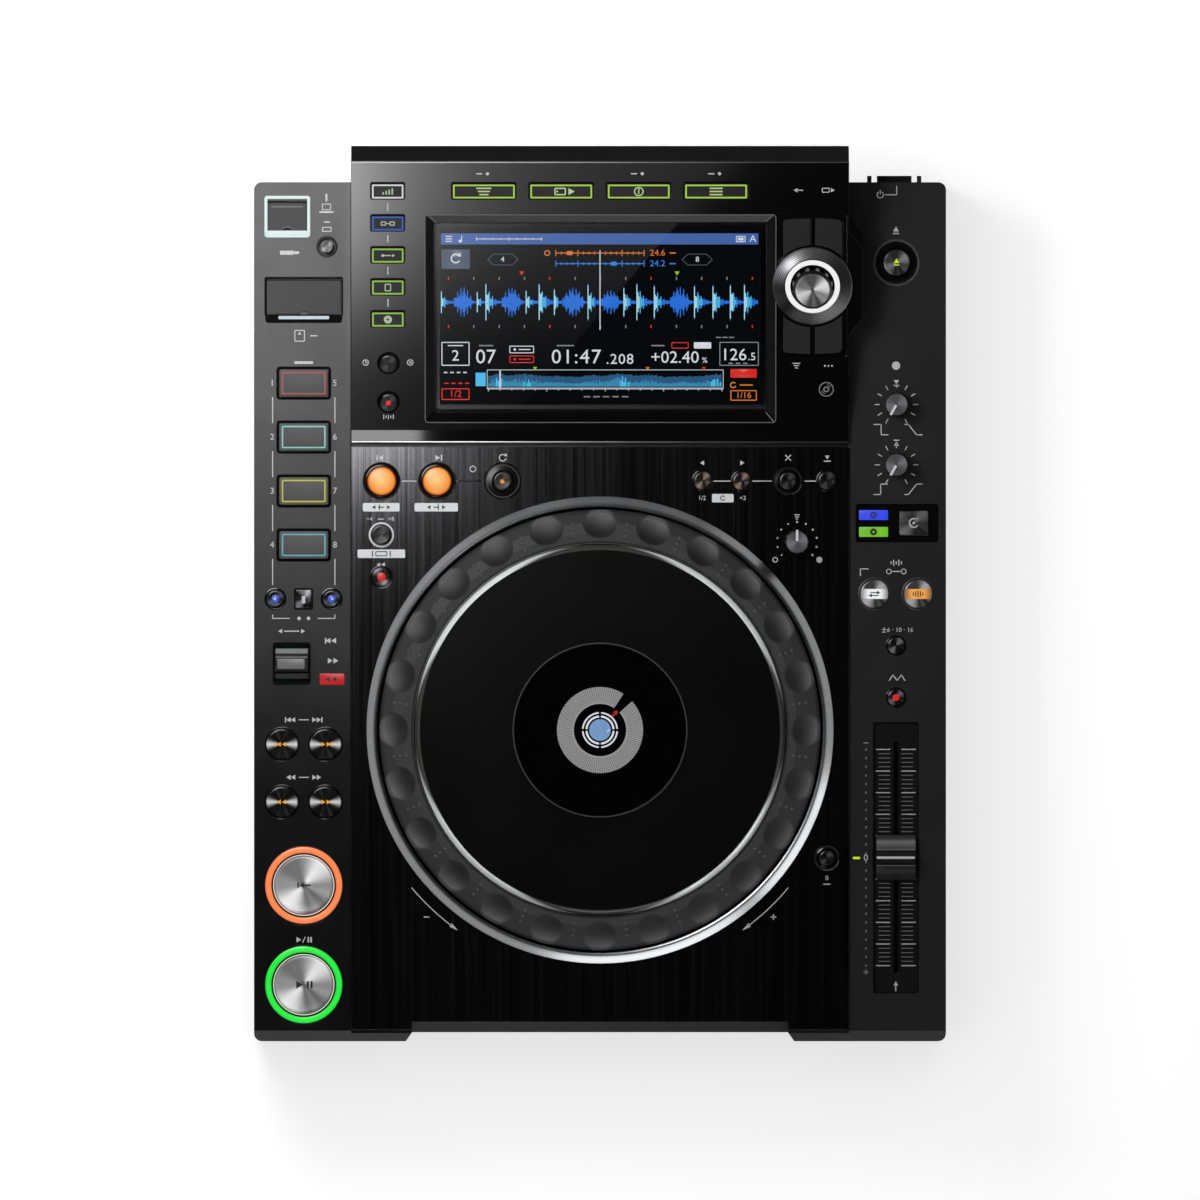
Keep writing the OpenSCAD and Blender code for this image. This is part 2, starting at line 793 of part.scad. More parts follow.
// Holes for the pod's keys and its selector
module pod_key_cuts() {
  for (x = browse_x)
    on_slope([x, browse_up])
      block(browse_size + [2 * gap, 2 * gap], 0.8, -9, 1, 2);
  for (i = [0:4])
    on_slope([source_x, browse_up - i * source_pitch])
      block(source_size + [2 * gap, 2 * gap], 0.8, -9, 1, 2);
  for (p = [time_at, quantize_at])
    on_slope(p, -6)
      cylinder(h = 8, r = small_r + gap);
  on_slope([selector_at[0] - 0.6, selector_at[1]])
    difference() {
      block([channel_w, channel_l], 0.8, -channel_drop, 2, 2);
      cylinder(h = 8, r = dish_r + 0.6, center = true);
    }
  on_slope(selector_at)
    for (i = [0:3])
      selector_key_place(i)
        selector_key_plan(gap, -9, 1);
  on_slope(selector_at, -12)
    cylinder(h = 20, r = selector_shaft_r + gap);
}

// Puts children at one of the four places round the selector: left or right, upper or lower
module selector_key_place(i) {
  mirror([i % 2, 0, 0])
    mirror([0, floor(i / 2), 0])
      children();
}

// One key of the selector's cross: a bar whose inner end is arced round the dish
selector_shaft_r = 4;
key_x0 = 1.1;
key_w = 12.5;
key_far = 32.4;
module selector_key_plan(grow, z0, z1) {
  difference() {
    translate([0, 0, z0])
      linear_extrude(z1 - z0)
        polygon([[key_x0 - grow, 8], [key_x0 + key_w + grow, 8],
          [key_x0 + key_w + grow, key_far - 2 + grow], [key_x0 + key_w - 1.4 + grow, key_far - 0.6 + grow],
          [key_x0 - grow, key_far + grow]]);
    translate([0, 0, z0 - 1])
      cylinder(h = z1 - z0 + 2, r = dish_r + 1.2 - grow);
  }
}

module screen_glass() {
  color("#0a1420", 0.4)
    on_slope(glass_at)
      block(glass_size - [0.4, 0.4], 0.5, -glass_drop - glass_t + lcd_gap, -glass_drop, 2);
}

module lcd_panel() {
  color("#1a3a66")
    on_slope(glass_at)
      block(lcd_size, 0.5, -glass_drop - glass_t - lcd_t, -glass_drop - glass_t, 2);
}

module rear_panel() {
  color("#2a2b2e")
    difference() {
      box([-panel_w / 2, panel_y, panel_z[0]], [panel_w / 2, panel_y + panel_t, panel_z[1]]);
      on_rear(inlet_at, -5)
        block(inlet_hole + [0.2, 0.2], 2, 0, 10, 3);
      on_rear(lan_at, -5)
        block(lan_hole + [0.2, 0.2], 0.4, 0, 10, 1);
      on_rear(usb_b_at, -5)
        block(usb_b_hole + [0.2, 0.2], 0.4, 0, 10, 1);
      on_rear(jack_at, -5)
        cylinder(h = 10, r = 3.2);
      for (p = concat([coax_at], rca_at))
        on_rear(p, -5)
          cylinder(h = 10, r = 5.2);
      on_rear([-108, split_h + 40], -5)
        block([7, 3], 0.5, 0, 10, 1);
    }
}

module rear_sockets() {
  color("#26272a")
    on_rear(inlet_at)
      mains_inlet();
  color("#b9bcc0")
    on_rear(lan_at)
      socket_shell(lan_hole, lan_cavity, 0.6);
  color("#b9bcc0")
    on_rear(usb_b_at)
      usb_b_socket();
  color("#1c1c1e")
    on_rear(jack_at)
      difference() {
        translate([0, 0, -12])
          cylinder(h = 13.6, r = 3.1);
        translate([0, 0, -10])
          cylinder(h = 12, r = 1.8);
      }
  for (p = concat([coax_at], rca_at))
    color("#c9a64a")
      on_rear(p)
        rca_socket();
}

// A three-pin mains inlet: flange, shroud with two cut corners, and its pins
module mains_inlet() {
  difference() {
    union() {
      block(inlet_hole, 2, -inlet_cavity[2] - 2, 0.3, 3);
      block(inlet_hole + [3, 3], 2, 0, 1.2, 3);
    }
    translate([0, 0, -inlet_cavity[2]])
      linear_extrude(inlet_cavity[2] + 3)
        inlet_outline(inlet_cavity[0], inlet_cavity[1]);
  }
  for (p = [[-7, -1.9], [7, -1.9], [0, 2.6]])
    translate([p[0] - 1, p[1] - 2, -inlet_cavity[2] - 0.5])
      cube([2, 4, inlet_cavity[2] - 1]);
}

module inlet_outline(w, h) {
  cut = 4.2;
  polygon([[-w / 2, -h / 2], [w / 2, -h / 2], [w / 2, h / 2 - cut], [w / 2 - cut, h / 2],
    [cut - w / 2, h / 2], [-w / 2, h / 2 - cut]]);
}

// A metal-cased socket with a plain rectangular mouth
module socket_shell(size, cavity, proud) {
  difference() {
    block(size, 0.4, -cavity[2] - 2, proud, 1);
    block([cavity[0], cavity[1]], 0.3, -cavity[2], proud + 1, 1);
  }
}

module usb_b_socket() {
  socket_shell(usb_b_hole, [8.5, 7.8, 12], 0.6);
  block([5.6, 3.2], 0.2, -12.5, -1.5, 1);
}

// A phono socket: a metal sleeve in a round collar, with its centre contact in an insulator
module rca_socket() {
  difference() {
    union() {
      translate([0, 0, -12])
        cylinder(h = 13.4, r = 5.1);
      cylinder(h = 8, r = rca_r);
    }
    translate([0, 0, -8])
      cylinder(h = 18, r = 1.65);
  }
}

// The two card readers under their doors: an upright USB socket and an SD slot
module card_sockets() {
  top = column_h - 5.5;
  color("#2b2d30") {
    at(usb_at, board_top)
      difference() {
        block([17, 13.4], 0.8, 0, top - board_top, 2);
        translate([0, 0.2, 0])
          block([12.5, 5.1], 0.2, 2, top, 1);
      }
    at(usb_at, board_top + 1.5)
      translate([0, 1.2, 0])
        block([11.6, 1.9], 0.2, 0, 9, 1);
    at(sd_at, board_top)
      difference() {
        block([33, 14], 0.8, 0, top - board_top, 2);
        block([24.6, 2.6], 0.2, 2, top, 1);
      }
  }
}

module rubber_feet() {
  color("#161616")
    for (p = foot_at)
      at(p)
        rotate_extrude()
          polygon([[4, 2], [4, 0.8], [6, 0], [foot_r - 1, 0], [foot_r, 1], [foot_r - 0.8, foot_h],
            [0, foot_h], [0, 2]]);
}

module case_screws() {
  color("#8f9296")
    for (p = screw_at)
      at(p, floor_z + 7.9)
        difference() {
          rotate_extrude()
            polygon([[0, -2.2], [2.4, -2.2], [3, -1.6], [3, 0], [screw_r, 0], [screw_r, 38], [0, 38]]);
          translate([0, 0, -3])
            cylinder(h = 1.8, r = 1.2, $fn = 6);
        }
}

// The slot-in drive: a steel cover round the disc's space, its mouth in line with the case's slot
module disc_drive() {
  w = slot_w + 16;
  sheet = 1.5;
  tray_z = slot_z - slot_h / 2 - 0.4;
  y0 = front_y + notch_d + wall + 0.3;
  z0 = slot_z - 16;
  z1 = well_z - 0.3;
  color("#8a8d91")
    difference() {
      union() {
        box([-w / 2, y0, z0], [w / 2, y0 + drive_d, z1]);
        for (x = [-w / 2 + 8, w / 2 - 8])
          for (y = [y0 + 12, y0 + drive_d - 12])
            at([x, y], floor_z + wall)
              cylinder(h = z0 - floor_z - wall + eps, r = 4);
      }
      box([-slot_w / 2, y0 - 1, tray_z], [slot_w / 2, y0 + 6, slot_z + slot_h / 2 + 0.4]);
      box([sheet - w / 2, y0 + sheet, tray_z], [w / 2 - sheet, y0 + drive_d - sheet, z1 - 2.4]);
      box([16 - w / 2, y0 + sheet, z0 - 1], [w / 2 - 16, y0 + drive_d - sheet, tray_z - 1.6]);
      box([6 - w / 2, y0 + 6, z1 - 1.2], [w / 2 - 6, y0 + drive_d - 6, z1 + 1]);
    }
  color("#5d6064")
    at([0, y0 + 72], tray_z - eps)
      cylinder(h = 1.7, r = 15);
}

// Control boards under the columns and the deck's button row, and the main board on the floor
module circuit_boards() {
  color("#1f5a33") {
    for (b = [left_board, right_board])
      box([b[0][0], b[0][1], board_z], [b[1][0], b[1][1], board_top]);
    box([row_board[0][0], row_board[0][1], board_z], [row_board[1][0], row_board[1][1], board_top]);
    difference() {
      box([main_x[0], main_y[0], main_board_z], [main_x[1], main_y[1], main_board_z + board_t]);
      for (p = main_posts)
        at(p, main_board_z - eps)
          cylinder(h = 3, r = 1.6);
    }
    for (p = main_posts)
      at(p, floor_z + wall)
        ring(1.6, 3.2, 0, main_board_z - floor_z - wall);
  }
  color("#303236")
    for (c = [[40, 46, 34, 34], [80, 106, 26, 26], [36, 142, 22, 14], [104, 60, 18, 30]])
      at([main_x[0] + c[0], main_y[0] + c[1]], main_board_z + board_t)
        block([c[2], c[3]], 0.5, 0, 5, 1);
}
main_left = 60;
main_right = 120;
main_rear = 24;
drive_clear = 3.8;
post_inset = 5;
main_x = [main_left - side_x, side_x - main_right];
main_y = [front_y + notch_d + wall + drive_d + drive_clear, case_back_y - main_rear];
main_posts = [for (x = [main_x[0] + post_inset, main_x[1] - post_inset])
  for (y = [main_y[0] + post_inset, main_y[1] - post_inset]) [x, y]];

// The power supply: board, mains transformer, capacitors and a heat sink with fins
module power_supply() {
  z0 = floor_z + wall;
  x0 = side_x - supply_right;
  y0 = case_back_y - supply_rear;
  top_z = z0 + supply_sheet;
  color("#6b6e72")
    difference() {
      box([x0, y0, z0], [x0 + supply_w, y0 + supply_l, top_z]);
      for (x = [x0 + supply_hole, x0 + supply_w - supply_hole])
        at([x, y0 + supply_hole], z0 - eps)
          cylinder(h = supply_sheet + 1, r = 1.7);
    }
  color("#b98a3a")
    box([x0 + 6, y0 + supply_l - 46, top_z], [x0 + 46, y0 + supply_l - 10, top_z + coil_h]);
  color("#1d2a4a")
    for (i = [0:2])
      at([x0 + 14 + 17 * i, y0 + 26], top_z)
        cylinder(h = can_h, r = 7);
  color("#9a9da1")
    for (i = [0:5])
      box([x0 + 8 + fin_pitch * i, y0 + 42, top_z], [x0 + 10 + fin_pitch * i, y0 + 60, top_z + fin_h]);
}
supply_right = 108;
supply_rear = 154.4;
supply_w = 66;
supply_l = 112;
supply_sheet = 3;
supply_hole = 8;
coil_h = 27;
can_h = 22;
fin_pitch = 8;
fin_h = 23;

// Lit rings round cue, play and the selector
module light_rings() {
  color("#ff7a2a")
    at(cue_at)
      ring(big_r + 1.2, ring_r, column_h - ring_seat, column_h + 0.4);
  color("#19d84a")
    at(play_at)
      ring(big_r + 1.2, ring_r, column_h - ring_seat, column_h + 0.4);
  color("#f2f4f6")
    on_slope(selector_at)
      ring(selector_r + 1, dish_r - dish_w - 0.2, 0, 1.4);
}

// The fixed silver rim: its spigot stands in the hole of the deck plate
module jog_rim() {
  color("#b4b7bb")
    at(jog_at)
      rotate_extrude($fn = 144)
        polygon([[rim_bore_r, bed_z + 0.2], [well_r - 0.2, bed_z + 0.2], [well_r - 0.2, deck_h],
          [rim_r, deck_h], [rim_r, deck_h + rim_foot], [rim_r - 0.3, deck_h + rim_foot + 0.6],
          [rim_bore_r + 1.5, rim_top - 0.4], [rim_bore_r + 0.8, rim_top], [rim_bore_r, rim_top - 0.3]]);
}

// The fixed post that carries the centre display, with its foot on the well's floor
module jog_post() {
  head_z = display_z - post_head_t;
  foot_end = post_r + post_flange_w;
  color("#77797d")
    at(jog_at)
      rotate_extrude($fn = 96)
        polygon([[cable_r, well_floor_z], [foot_end, well_floor_z], [foot_end, bearing_z0],
          [post_r, bearing_z0], [post_r, head_z], [hub_display_r - 2, head_z], [hub_display_r - 2, display_z],
          [cable_r, display_z]]);
}

// The plain bearing between the post and the jog's hub
module jog_bearing() {
  color("#c8b27a")
    at(jog_at)
      rotate_extrude($fn = 96)
        polygon([[post_r, bearing_z0], [bearing_r + 3, bearing_z0], [bearing_r + 3, bearing_z0 + 0.8],
          [bearing_r - 0.05, bearing_z0 + 0.8], [bearing_r - 0.05, bearing_z1], [post_r, bearing_z1]]);
}

module jog_display() {
  color("#08090a")
    at(jog_at)
      rotate_extrude($fn = 96)
        polygon([[0, display_z], [hub_display_r - 0.6, display_z],
          [hub_display_r - 0.6, display_z + display_t - 0.4],
          [hub_display_r - 1, display_z + display_t], [0, display_z + display_t]]);
}

// The jog's top plate, with its bevelled edge, the web under the grip ring and the hub on the bearing
module jog_plate() {
  top_t = 2.8;
  wall_r = top_plate_r - 3.6;
  lip_r = hub_display_r - 0.3;
  color("#0b0c0d")
    at(jog_at)
      rotate_extrude($fn = 144)
        polygon([[bearing_r, bearing_z0 + 1.1], [bearing_r + 4, bearing_z0 + 1.1], [bearing_r + 4, web_z],
          [grip_r - 0.3, web_z], [grip_r - 0.3, seat_z], [top_plate_r, seat_z],
          [top_plate_r, jog_top - 1.6], [top_plate_r - 1.9, jog_top], [lip_r, jog_top],
          [lip_r, jog_top - top_t], [wall_r, jog_top - top_t], [wall_r, seat_z], [bearing_r, seat_z]]);
}

// The rubber grip ring, hollowed by a row of spherical finger dimples
module jog_dial() {
  inner_r = top_plate_r + 1.1;
  crest_r = inner_r + 4.3;
  color("#1d1e20")
    at(jog_at)
      difference() {
        rotate_extrude($fn = 144)
          polygon([[inner_r, seat_z], [grip_r - 0.3, seat_z], [grip_r, deck_h + 3.5],
            [grip_r - 1.4, deck_h + 6], [crest_r + 5, jog_top - 1.4], [crest_r, jog_top + 0.2],
            [inner_r + 0.8, jog_top], [inner_r, jog_top - 0.8]]);
        for (i = [0:dimples - 1])
          rotate([0, 0, 90 + 360 * i / dimples])
            translate([crest_r + 8.6, 0, jog_top + 8.4])
              sphere(r = dimple_ball_r);
      }
}

// The slit ring that the jog's optical sensor reads
module jog_encoder() {
  color("#55585c")
    at(jog_at)
      difference() {
        ring(encoder_r - 1.2, encoder_r, web_z - encoder_h, web_z);
        for (i = [0:encoder_slits / 2 - 1])
          rotate([0, 0, 360 * i / encoder_slits])
            translate([-encoder_r - 2, -1.4, web_z - encoder_h - eps])
              cube([2 * encoder_r + 4, 2.8, encoder_h - 2]);
      }
}

// The fader: its scaled panel, and the slide potentiometer below it on the control board
fader_panel_t = 2;
fader_slot = 2.1;
fader_drop = 2;
stem_size = [1.4, 6];
module fader_unit() {
  panel_z = column_h - fader_drop;
  slot_l = fader_travel + stem_size[1] + 1;
  color("#17181a")
    at(fader_at)
      difference() {
        union() {
          block([fader_panel_w - 0.2, fader_panel_l - 0.2], 0.7, panel_z - fader_panel_t, panel_z, 3);
          block([12, fader_panel_l - 4], 0.5, board_top, panel_z - fader_panel_t, 1);
        }
        block([fader_slot, slot_l], 0.6, board_top + 2, panel_z + 1, 3);
        block([7, slot_l + 2], 0.6, board_top + 2, panel_z - fader_panel_t - 1.5, 3);
      }
}

// The fader's cap: a saddle with a raised bar across its middle, on a blade through the slot
module fader_cap() {
  z0 = column_h - fader_drop + gap;
  h = cap_h - gap;
  w = cap_w / 2;
  l = cap_l / 2;
  color("#1f2023")
    at(fader_at) {
      translate([-w, 0, z0])
        rotate([90, 0, 90])
          linear_extrude(cap_w)
            polygon([[-l, 0], [l, 0], [l, 1.6], [l - 3.2, h * 0.62], [3.4, h * 0.5], [2.2, h * 0.72],
              [1.8, h], [-1.8, h], [-2.2, h * 0.72], [-3.4, h * 0.5], [3.2 - l, h * 0.62], [-l, 1.6]]);
      translate([-stem_size[0] / 2, -stem_size[1] / 2, board_top + 4])
        cube([stem_size[0], stem_size[1], z0 - board_top - 4 + eps]);
      translate([-2.8, -stem_size[1] / 2, board_top + 4])
        cube([5.6, stem_size[1], 2.4]);
    }
}

// A round push cap: crowned top, skirt through the skin, flange behind it and a stem to its switch
module round_cap(r, rise, skin, stem = 4) {
  f = -skin - gap;
  rotate_extrude()
    polygon([[0, f - flange_t - stem], [stem_r, f - flange_t - stem], [stem_r, f - flange_t],
      [r + flange_w, f - flange_t], [r + flange_w, f], [r, f], [r, rise - 0.7],
      [r - 0.7, rise], [0, rise + 0.25]]);
}

// A rectangular push cap with a bevelled top
module flat_cap(size, r, rise, skin, stem = 4, z0 = 0) {
  f = -skin - gap;
  block(size, r, f, rise - 0.6, 3);
  block(size + 2 * [flange_w, flange_w], r, f - flange_t, f, 3);
  hull() {
    block(size, r, rise - 0.62, rise - 0.6, 3);
    block(size - [1.2, 1.2], r, rise - 0.02, rise, 3);
  }
  translate([0, 0, f - flange_t - stem])
    cylinder(h = stem + eps, r = stem_r);
}

// The cue and play buttons: a spun disc with a dished edge
module big_button(p) {
  at(p, column_h)
    rotate_extrude($fn = 96)
      polygon([[0, -wall - gap - flange_t - 5], [4, -wall - gap - flange_t - 5], [4, -wall - gap - flange_t],
        [big_r + flange_w, -wall - gap - flange_t], [big_r + flange_w, -wall - gap], [big_r, -wall - gap],
        [big_r, 2.2], [big_r - 0.5, 2.9], [big_r - 1.3, 3], [big_r - 2.6, 2.7], [0, 2.5]]);
}

// A small pot knob: a fluted skirt and a raised pointer, on its shaft
module small_knob(p, z, turn) {
  color("#3a3b3e")
    at(p, z)
      rotate([0, 0, turn]) {
        difference() {
          translate([0, 0, gap + 0.2])
            cylinder(h = knob_h - gap - 0.2, r1 = knob_r, r2 = knob_r - 0.5, $fn = 60);
          for (i = [0:11])
            rotate([0, 0, 30 * i + 15])
              translate([knob_r + 0.7, 0, gap])
                cylinder(h = knob_h - 1.6, r = 1.2, $fn = 20);
        }
        translate([-0.45, 0.6, knob_h - eps])
          cube([0.9, knob_r - 1.3, 0.5]);
        translate([0, 0, board_top + 0.4 - z])
          cylinder(h = z - board_top + gap, r = knob_shaft_r);
      }
}

// Rise of each kind of cap above its panel
cap_rise = 2;
pad_rise = 2.4;
key_rise = 1.2;

// A round button of the columns, at a plan place
module column_button(p, r, tint = "#8d9094") {
  color(tint)
    at(p, column_h)
      round_cap(r, cap_rise, wall);
}

// A round button of the deck plate, at a plan place
module deck_button(p, r, tint = "#8d9094") {
  color(tint)
    at(p, deck_h)
      round_cap(r, cap_rise, deck_h - skin_z);
}

module hot_cue(i) {
  color("#4a4a4c")
    at([pads_at[0], pads_at[1] - i * pad_step], column_h)
      flat_cap(pad_size, 1, pad_rise, wall);
}

// The selector's push shaft, and the fluted knob that turns on it
selector_rise = 8.6;
selector_flutes = 12;
knob_lid = 2.6;
module selector_shaft() {
  color("#5a5c60")
    on_slope(selector_at, -16)
      cylinder(h = 16 + selector_rise - knob_lid, r = selector_shaft_r);
}

module selector_knob() {
  color("#a9acb0")
    on_slope(selector_at)
      difference() {
        rotate_extrude()
          polygon([[selector_shaft_r + 0.05, 0.6 + press], [selector_r + 0.3, 0.6 + press],
            [selector_r, selector_rise - 1.2], [selector_r - 1.2, selector_rise], [0, selector_rise - 0.3],
            [0, selector_rise - knob_lid + 0.1], [selector_shaft_r + 0.05, selector_rise - knob_lid + 0.1]]);
        for (i = [0:selector_flutes - 1])
          rotate([0, 0, 360 * i / selector_flutes])
            translate([selector_r + 0.8, 0, -eps])
              cylinder(h = selector_rise - 1, r = 1.8);
      }
}

module play_button() {
  color("#c6c8cb")
    big_button(play_at);
}

module cue_button() {
  color("#c6c8cb")
    big_button(cue_at);
}

// The direction lever: a paddle on a rocker, pivoted across the recess
lever_axis_z = column_h - 5;
lever_pin_r = 1.2;
module direction_lever() {
  w = lever_hole[0] - 1.4;
  color("#2a2b2e")
    at(lever_at, lever_axis_z) {
      translate([-w / 2, 0, 0])
        rotate([90, 0, 90])
          linear_extrude(w)
            polygon([[-7, 2.2], [-4.6, 2.6], [-3.6, 7.2], [-2.6, 7.8], [2.6, 7.8], [3.6, 7.2],
              [4.6, 2.6], [7, 2.2], [6, -1.6], [3, -3.6], [-3, -3.6], [-6, -1.6]]);
      translate([-w / 2 - 2.2, 0, 0])
        rotate([0, 90, 0])
          cylinder(h = w + 4.4, r = lever_pin_r);
    }
}

// The two ears under the skin that hold the direction lever's pin
module lever_ears() {
  for (s = [-1, 1])
    at([lever_at[0] + s * (lever_hole[0] / 2 + 1), lever_at[1]], lever_axis_z)
      difference() {
        translate([-1, -4, -3])
          cube([2, 8, skin_z - lever_axis_z + 3 + eps]);
        rotate([0, 90, 0])
          cylinder(h = 4, r = lever_pin_r + 0.1, center = true);
      }
}

// A hinged door: a plate with a rounded hinge edge, two pins and a finger notch
module door(size, notch) {
  y1 = size[1] / 2 - 1.4;
  r = door_t / 2;
  h = [size[0] - 2 * gap, size[1]];
  translate([0, 0, door_axis_z]) {
    difference() {
      union() {
        box([-h[0] / 2, gap - size[1] / 2, -r], [h[0] / 2, y1, r]);
        translate([-h[0] / 2, y1, 0])
          rotate([0, 90, 0])
            cylinder(h = h[0], r = r);
      }
      translate([0, -size[1] / 2 - notch * 0.3, -5])
        cylinder(h = 10, r = notch, $fn = 36);
    }
    translate([-h[0] / 2 - 1.2, y1, 0])
      rotate([0, 90, 0])
        cylinder(h = h[0] + 2.4, r = door_pin_r);
  }
}

module usb_flap() {
  color("#3b3d40")
    at(usb_at)
      door(usb_door, 3.2);
}

module sd_door() {
  color("#2e3033")
    at(sd_at)
      door(sd_door_size, 2);
}

module jog_adjust_knob() {
  small_knob(adjust_at, deck_h, 0);
}

module touch_brake_knob() {
  small_knob(touch_at, column_h, 150);
}

module release_start_knob() {
  small_knob(release_at, column_h, 150);
}

module power_switch() {
  color("#17181a")
    translate([power_at[0], case_back_y, column_h - 9.5]) {
      translate([-8, -wall - gap, -4])
        cube([16, wall + gap + 3, 8]);
      translate([-9, -wall - gap - 2, -5])
        cube([18, 2, 10]);
      translate([-3, -wall - gap - 12, -3])
        cube([6, 10 + eps, 6]);
    }
}

module eject_button() {
  column_button(eject_at, 6.2, "#2b2c2f");
}

module track_prev() {
  column_button(track_at - [pair_dx, 0], search_r);
}

module track_next() {
  column_button(track_at + [pair_dx, 0], search_r);
}

module search_back() {
  column_button(search_at - [pair_dx, 0], search_r);
}

module search_forward() {
  column_button(search_at + [pair_dx, 0], search_r);
}

module loop_in() {
  deck_button(loop_in_at, loop_r, "#ff9a33");
}

module loop_out() {
  deck_button(loop_out_at, loop_r, "#ff9a33");
}

module reloop() {
  deck_button(reloop_at, small_r + 0.2, "#2b2c2f");
}

module beat_loop() {
  deck_button(beat_at, small_r + 0.6, "#2b2c2f");
}

module slip() {
  deck_button(slip_at, small_r + 0.4, "#2b2c2f");
}

module tempo_reset() {
  deck_button(reset_at, 3.7, "#2b2c2f");
}

module jog_mode() {
  color("#2c2d30")
    at(jog_mode_at, column_h)
      flat_cap(mode_cap, 0.8, key_rise, wall);
}

module sync() {
  column_button(sync_at, sync_r, "#b9bbbf");
}

module master() {
  column_button(master_at, sync_r, "#e39a3c");
}

// The five source keys down the pod's left side
module source_keys() {
  color("#15161a")
    for (i = [0:4])
      on_slope([source_x, browse_up - i * source_pitch])
        flat_cap(source_size, 0.6, key_rise, wall, 2);
}

// The four browse keys along the pod's top
module browse_keys() {
  color("#15161a")
    for (x = browse_x)
      on_slope([x, browse_up])
        flat_cap(browse_size, 0.6, key_rise, wall, 2);
}

// The four keys of the cross round the selector
module selector_keys() {
  color("#3a3b3d")
    on_slope(selector_at)
      for (i = [0:3])
        selector_key_place(i) {
          selector_key_plan(0, -wall - gap - eps, key_rise);
          translate([0, 0, -wall - gap - flange_t])
            linear_extrude(flange_t)
              polygon([[key_x0, 22], [key_x0 + key_w - 0.3, 22], [key_x0 + key_w - 0.3, key_far - 1],
                [key_x0, key_far + flange_w]]);
        }
}

// Call, delete and memory
module deck_keys() {
  deck_button(call_at[0], small_r, "#2b2c2f");
  deck_button(call_at[1], small_r, "#2b2c2f");
  deck_button(delete_at, small_r, "#2b2c2f");
  deck_button(memory_at, small_r, "#2b2c2f");
}

// The two round bank buttons and the square key between them
module bank_keys() {
  for (s = [-1, 1])
    column_button(bank_at + [s * 13, 0], small_r, "#2b2c2f");
  color("#2c2d30")
    at(bank_at, column_h)
      flat_cap(bank_cap, 0.8, key_rise, wall);
}

// Time mode and quantize, on the pod
module mode_keys() {
  color("#2b2c2f")
    for (p = [time_at, quantize_at])
      on_slope(p)
        round_cap(small_r, cap_rise, wall, 1);
}

// USB stop, tempo range and master tempo
module small_keys() {
  column_button(usb_stop_at, 3.5, "#2b2c2f");
  column_button(range_at, small_r - 0.2);
  column_button(key_lock_at, small_r - 0.2, "#c23b30");
}

lower_case();
upper_case();
deck_plate();
display_housing();
screen_glass();
lcd_panel();
rear_panel();
rear_sockets();
card_sockets();
rubber_feet();
case_screws();
disc_drive();
circuit_boards();
power_supply();
light_rings();
jog_rim();
jog_post();
jog_bearing();
jog_display();
jog_plate();
jog_dial();
jog_encoder();
fader_unit();
fader_cap();
selector_shaft();
selector_knob();
play_button();
cue_button();
direction_lever();
usb_flap();
sd_door();
jog_adjust_knob();
touch_brake_knob();
release_start_knob();
power_switch();
eject_button();
hot_cue(0);  // hot_cue_1
hot_cue(1);  // hot_cue_2
hot_cue(2);  // hot_cue_3
hot_cue(3);  // hot_cue_4
track_prev();
track_next();
search_back();
search_forward();
loop_in();
loop_out();
reloop();
beat_loop();
slip();
tempo_reset();
jog_mode();
sync();
master();
source_keys();
browse_keys();
selector_keys();
deck_keys();
bank_keys();
mode_keys();
small_keys();
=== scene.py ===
import bpy, bmesh, math, random
from mathutils import Matrix, Vector


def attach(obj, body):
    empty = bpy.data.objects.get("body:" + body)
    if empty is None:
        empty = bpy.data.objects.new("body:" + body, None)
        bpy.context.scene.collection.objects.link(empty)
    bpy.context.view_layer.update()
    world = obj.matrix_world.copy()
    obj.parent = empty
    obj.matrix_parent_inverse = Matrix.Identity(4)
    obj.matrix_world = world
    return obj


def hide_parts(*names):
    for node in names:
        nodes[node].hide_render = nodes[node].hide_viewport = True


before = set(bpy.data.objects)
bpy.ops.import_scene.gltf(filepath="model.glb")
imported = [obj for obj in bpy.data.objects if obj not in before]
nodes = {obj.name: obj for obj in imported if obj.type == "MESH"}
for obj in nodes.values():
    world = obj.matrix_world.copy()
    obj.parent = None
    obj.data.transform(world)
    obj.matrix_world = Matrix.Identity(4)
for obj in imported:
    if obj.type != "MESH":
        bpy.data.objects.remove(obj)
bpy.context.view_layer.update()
print("frame loaded")

mm = 0.001
case = {"deckZ": 84.0, "columnZ": 82.5}
pod = {"lowY": 75.8, "lowZ": 84.5, "ridgeY": 199.8, "ridgeZ": 118.5}
pod["tilt"] = math.atan2(pod["ridgeZ"] - pod["lowZ"], pod["ridgeY"] - pod["lowY"])
pod["length"] = (pod["ridgeY"] - pod["lowY"]) / math.cos(pod["tilt"])
onPod = Matrix.Translation((0, pod["lowY"], pod["lowZ"])) @ Matrix.Rotation(pod["tilt"], 4, "X")


def seat(x, y, z=0.0, turn=0.0):  # place on a flat panel, in mm
    return Matrix.Translation((x, y, z)) @ Matrix.Rotation(math.radians(turn), 4, "Z")


def podSeat(x, up, h=0.0, turn=0.0):  # place on the screen pod's slope, up it from its lower edge
    return onPod @ seat(x, up, h, turn)


def fresh():
    return bmesh.new()


def moved(bm, verts, place):
    bmesh.ops.transform(bm, matrix=place, verts=[v for v in verts if v.is_valid])


def raised(bm, faces, height):  # flat faces become a closed slab, of which the lid is given back
    faces = [f for f in faces if f.is_valid]
    out = bmesh.ops.extrude_face_region(bm, geom=faces, use_keep_orig=True)["geom"]
    bmesh.ops.translate(bm, vec=(0, 0, height), verts=[g for g in out if isinstance(g, bmesh.types.BMVert)])
    return [g for g in out if isinstance(g, bmesh.types.BMFace)]


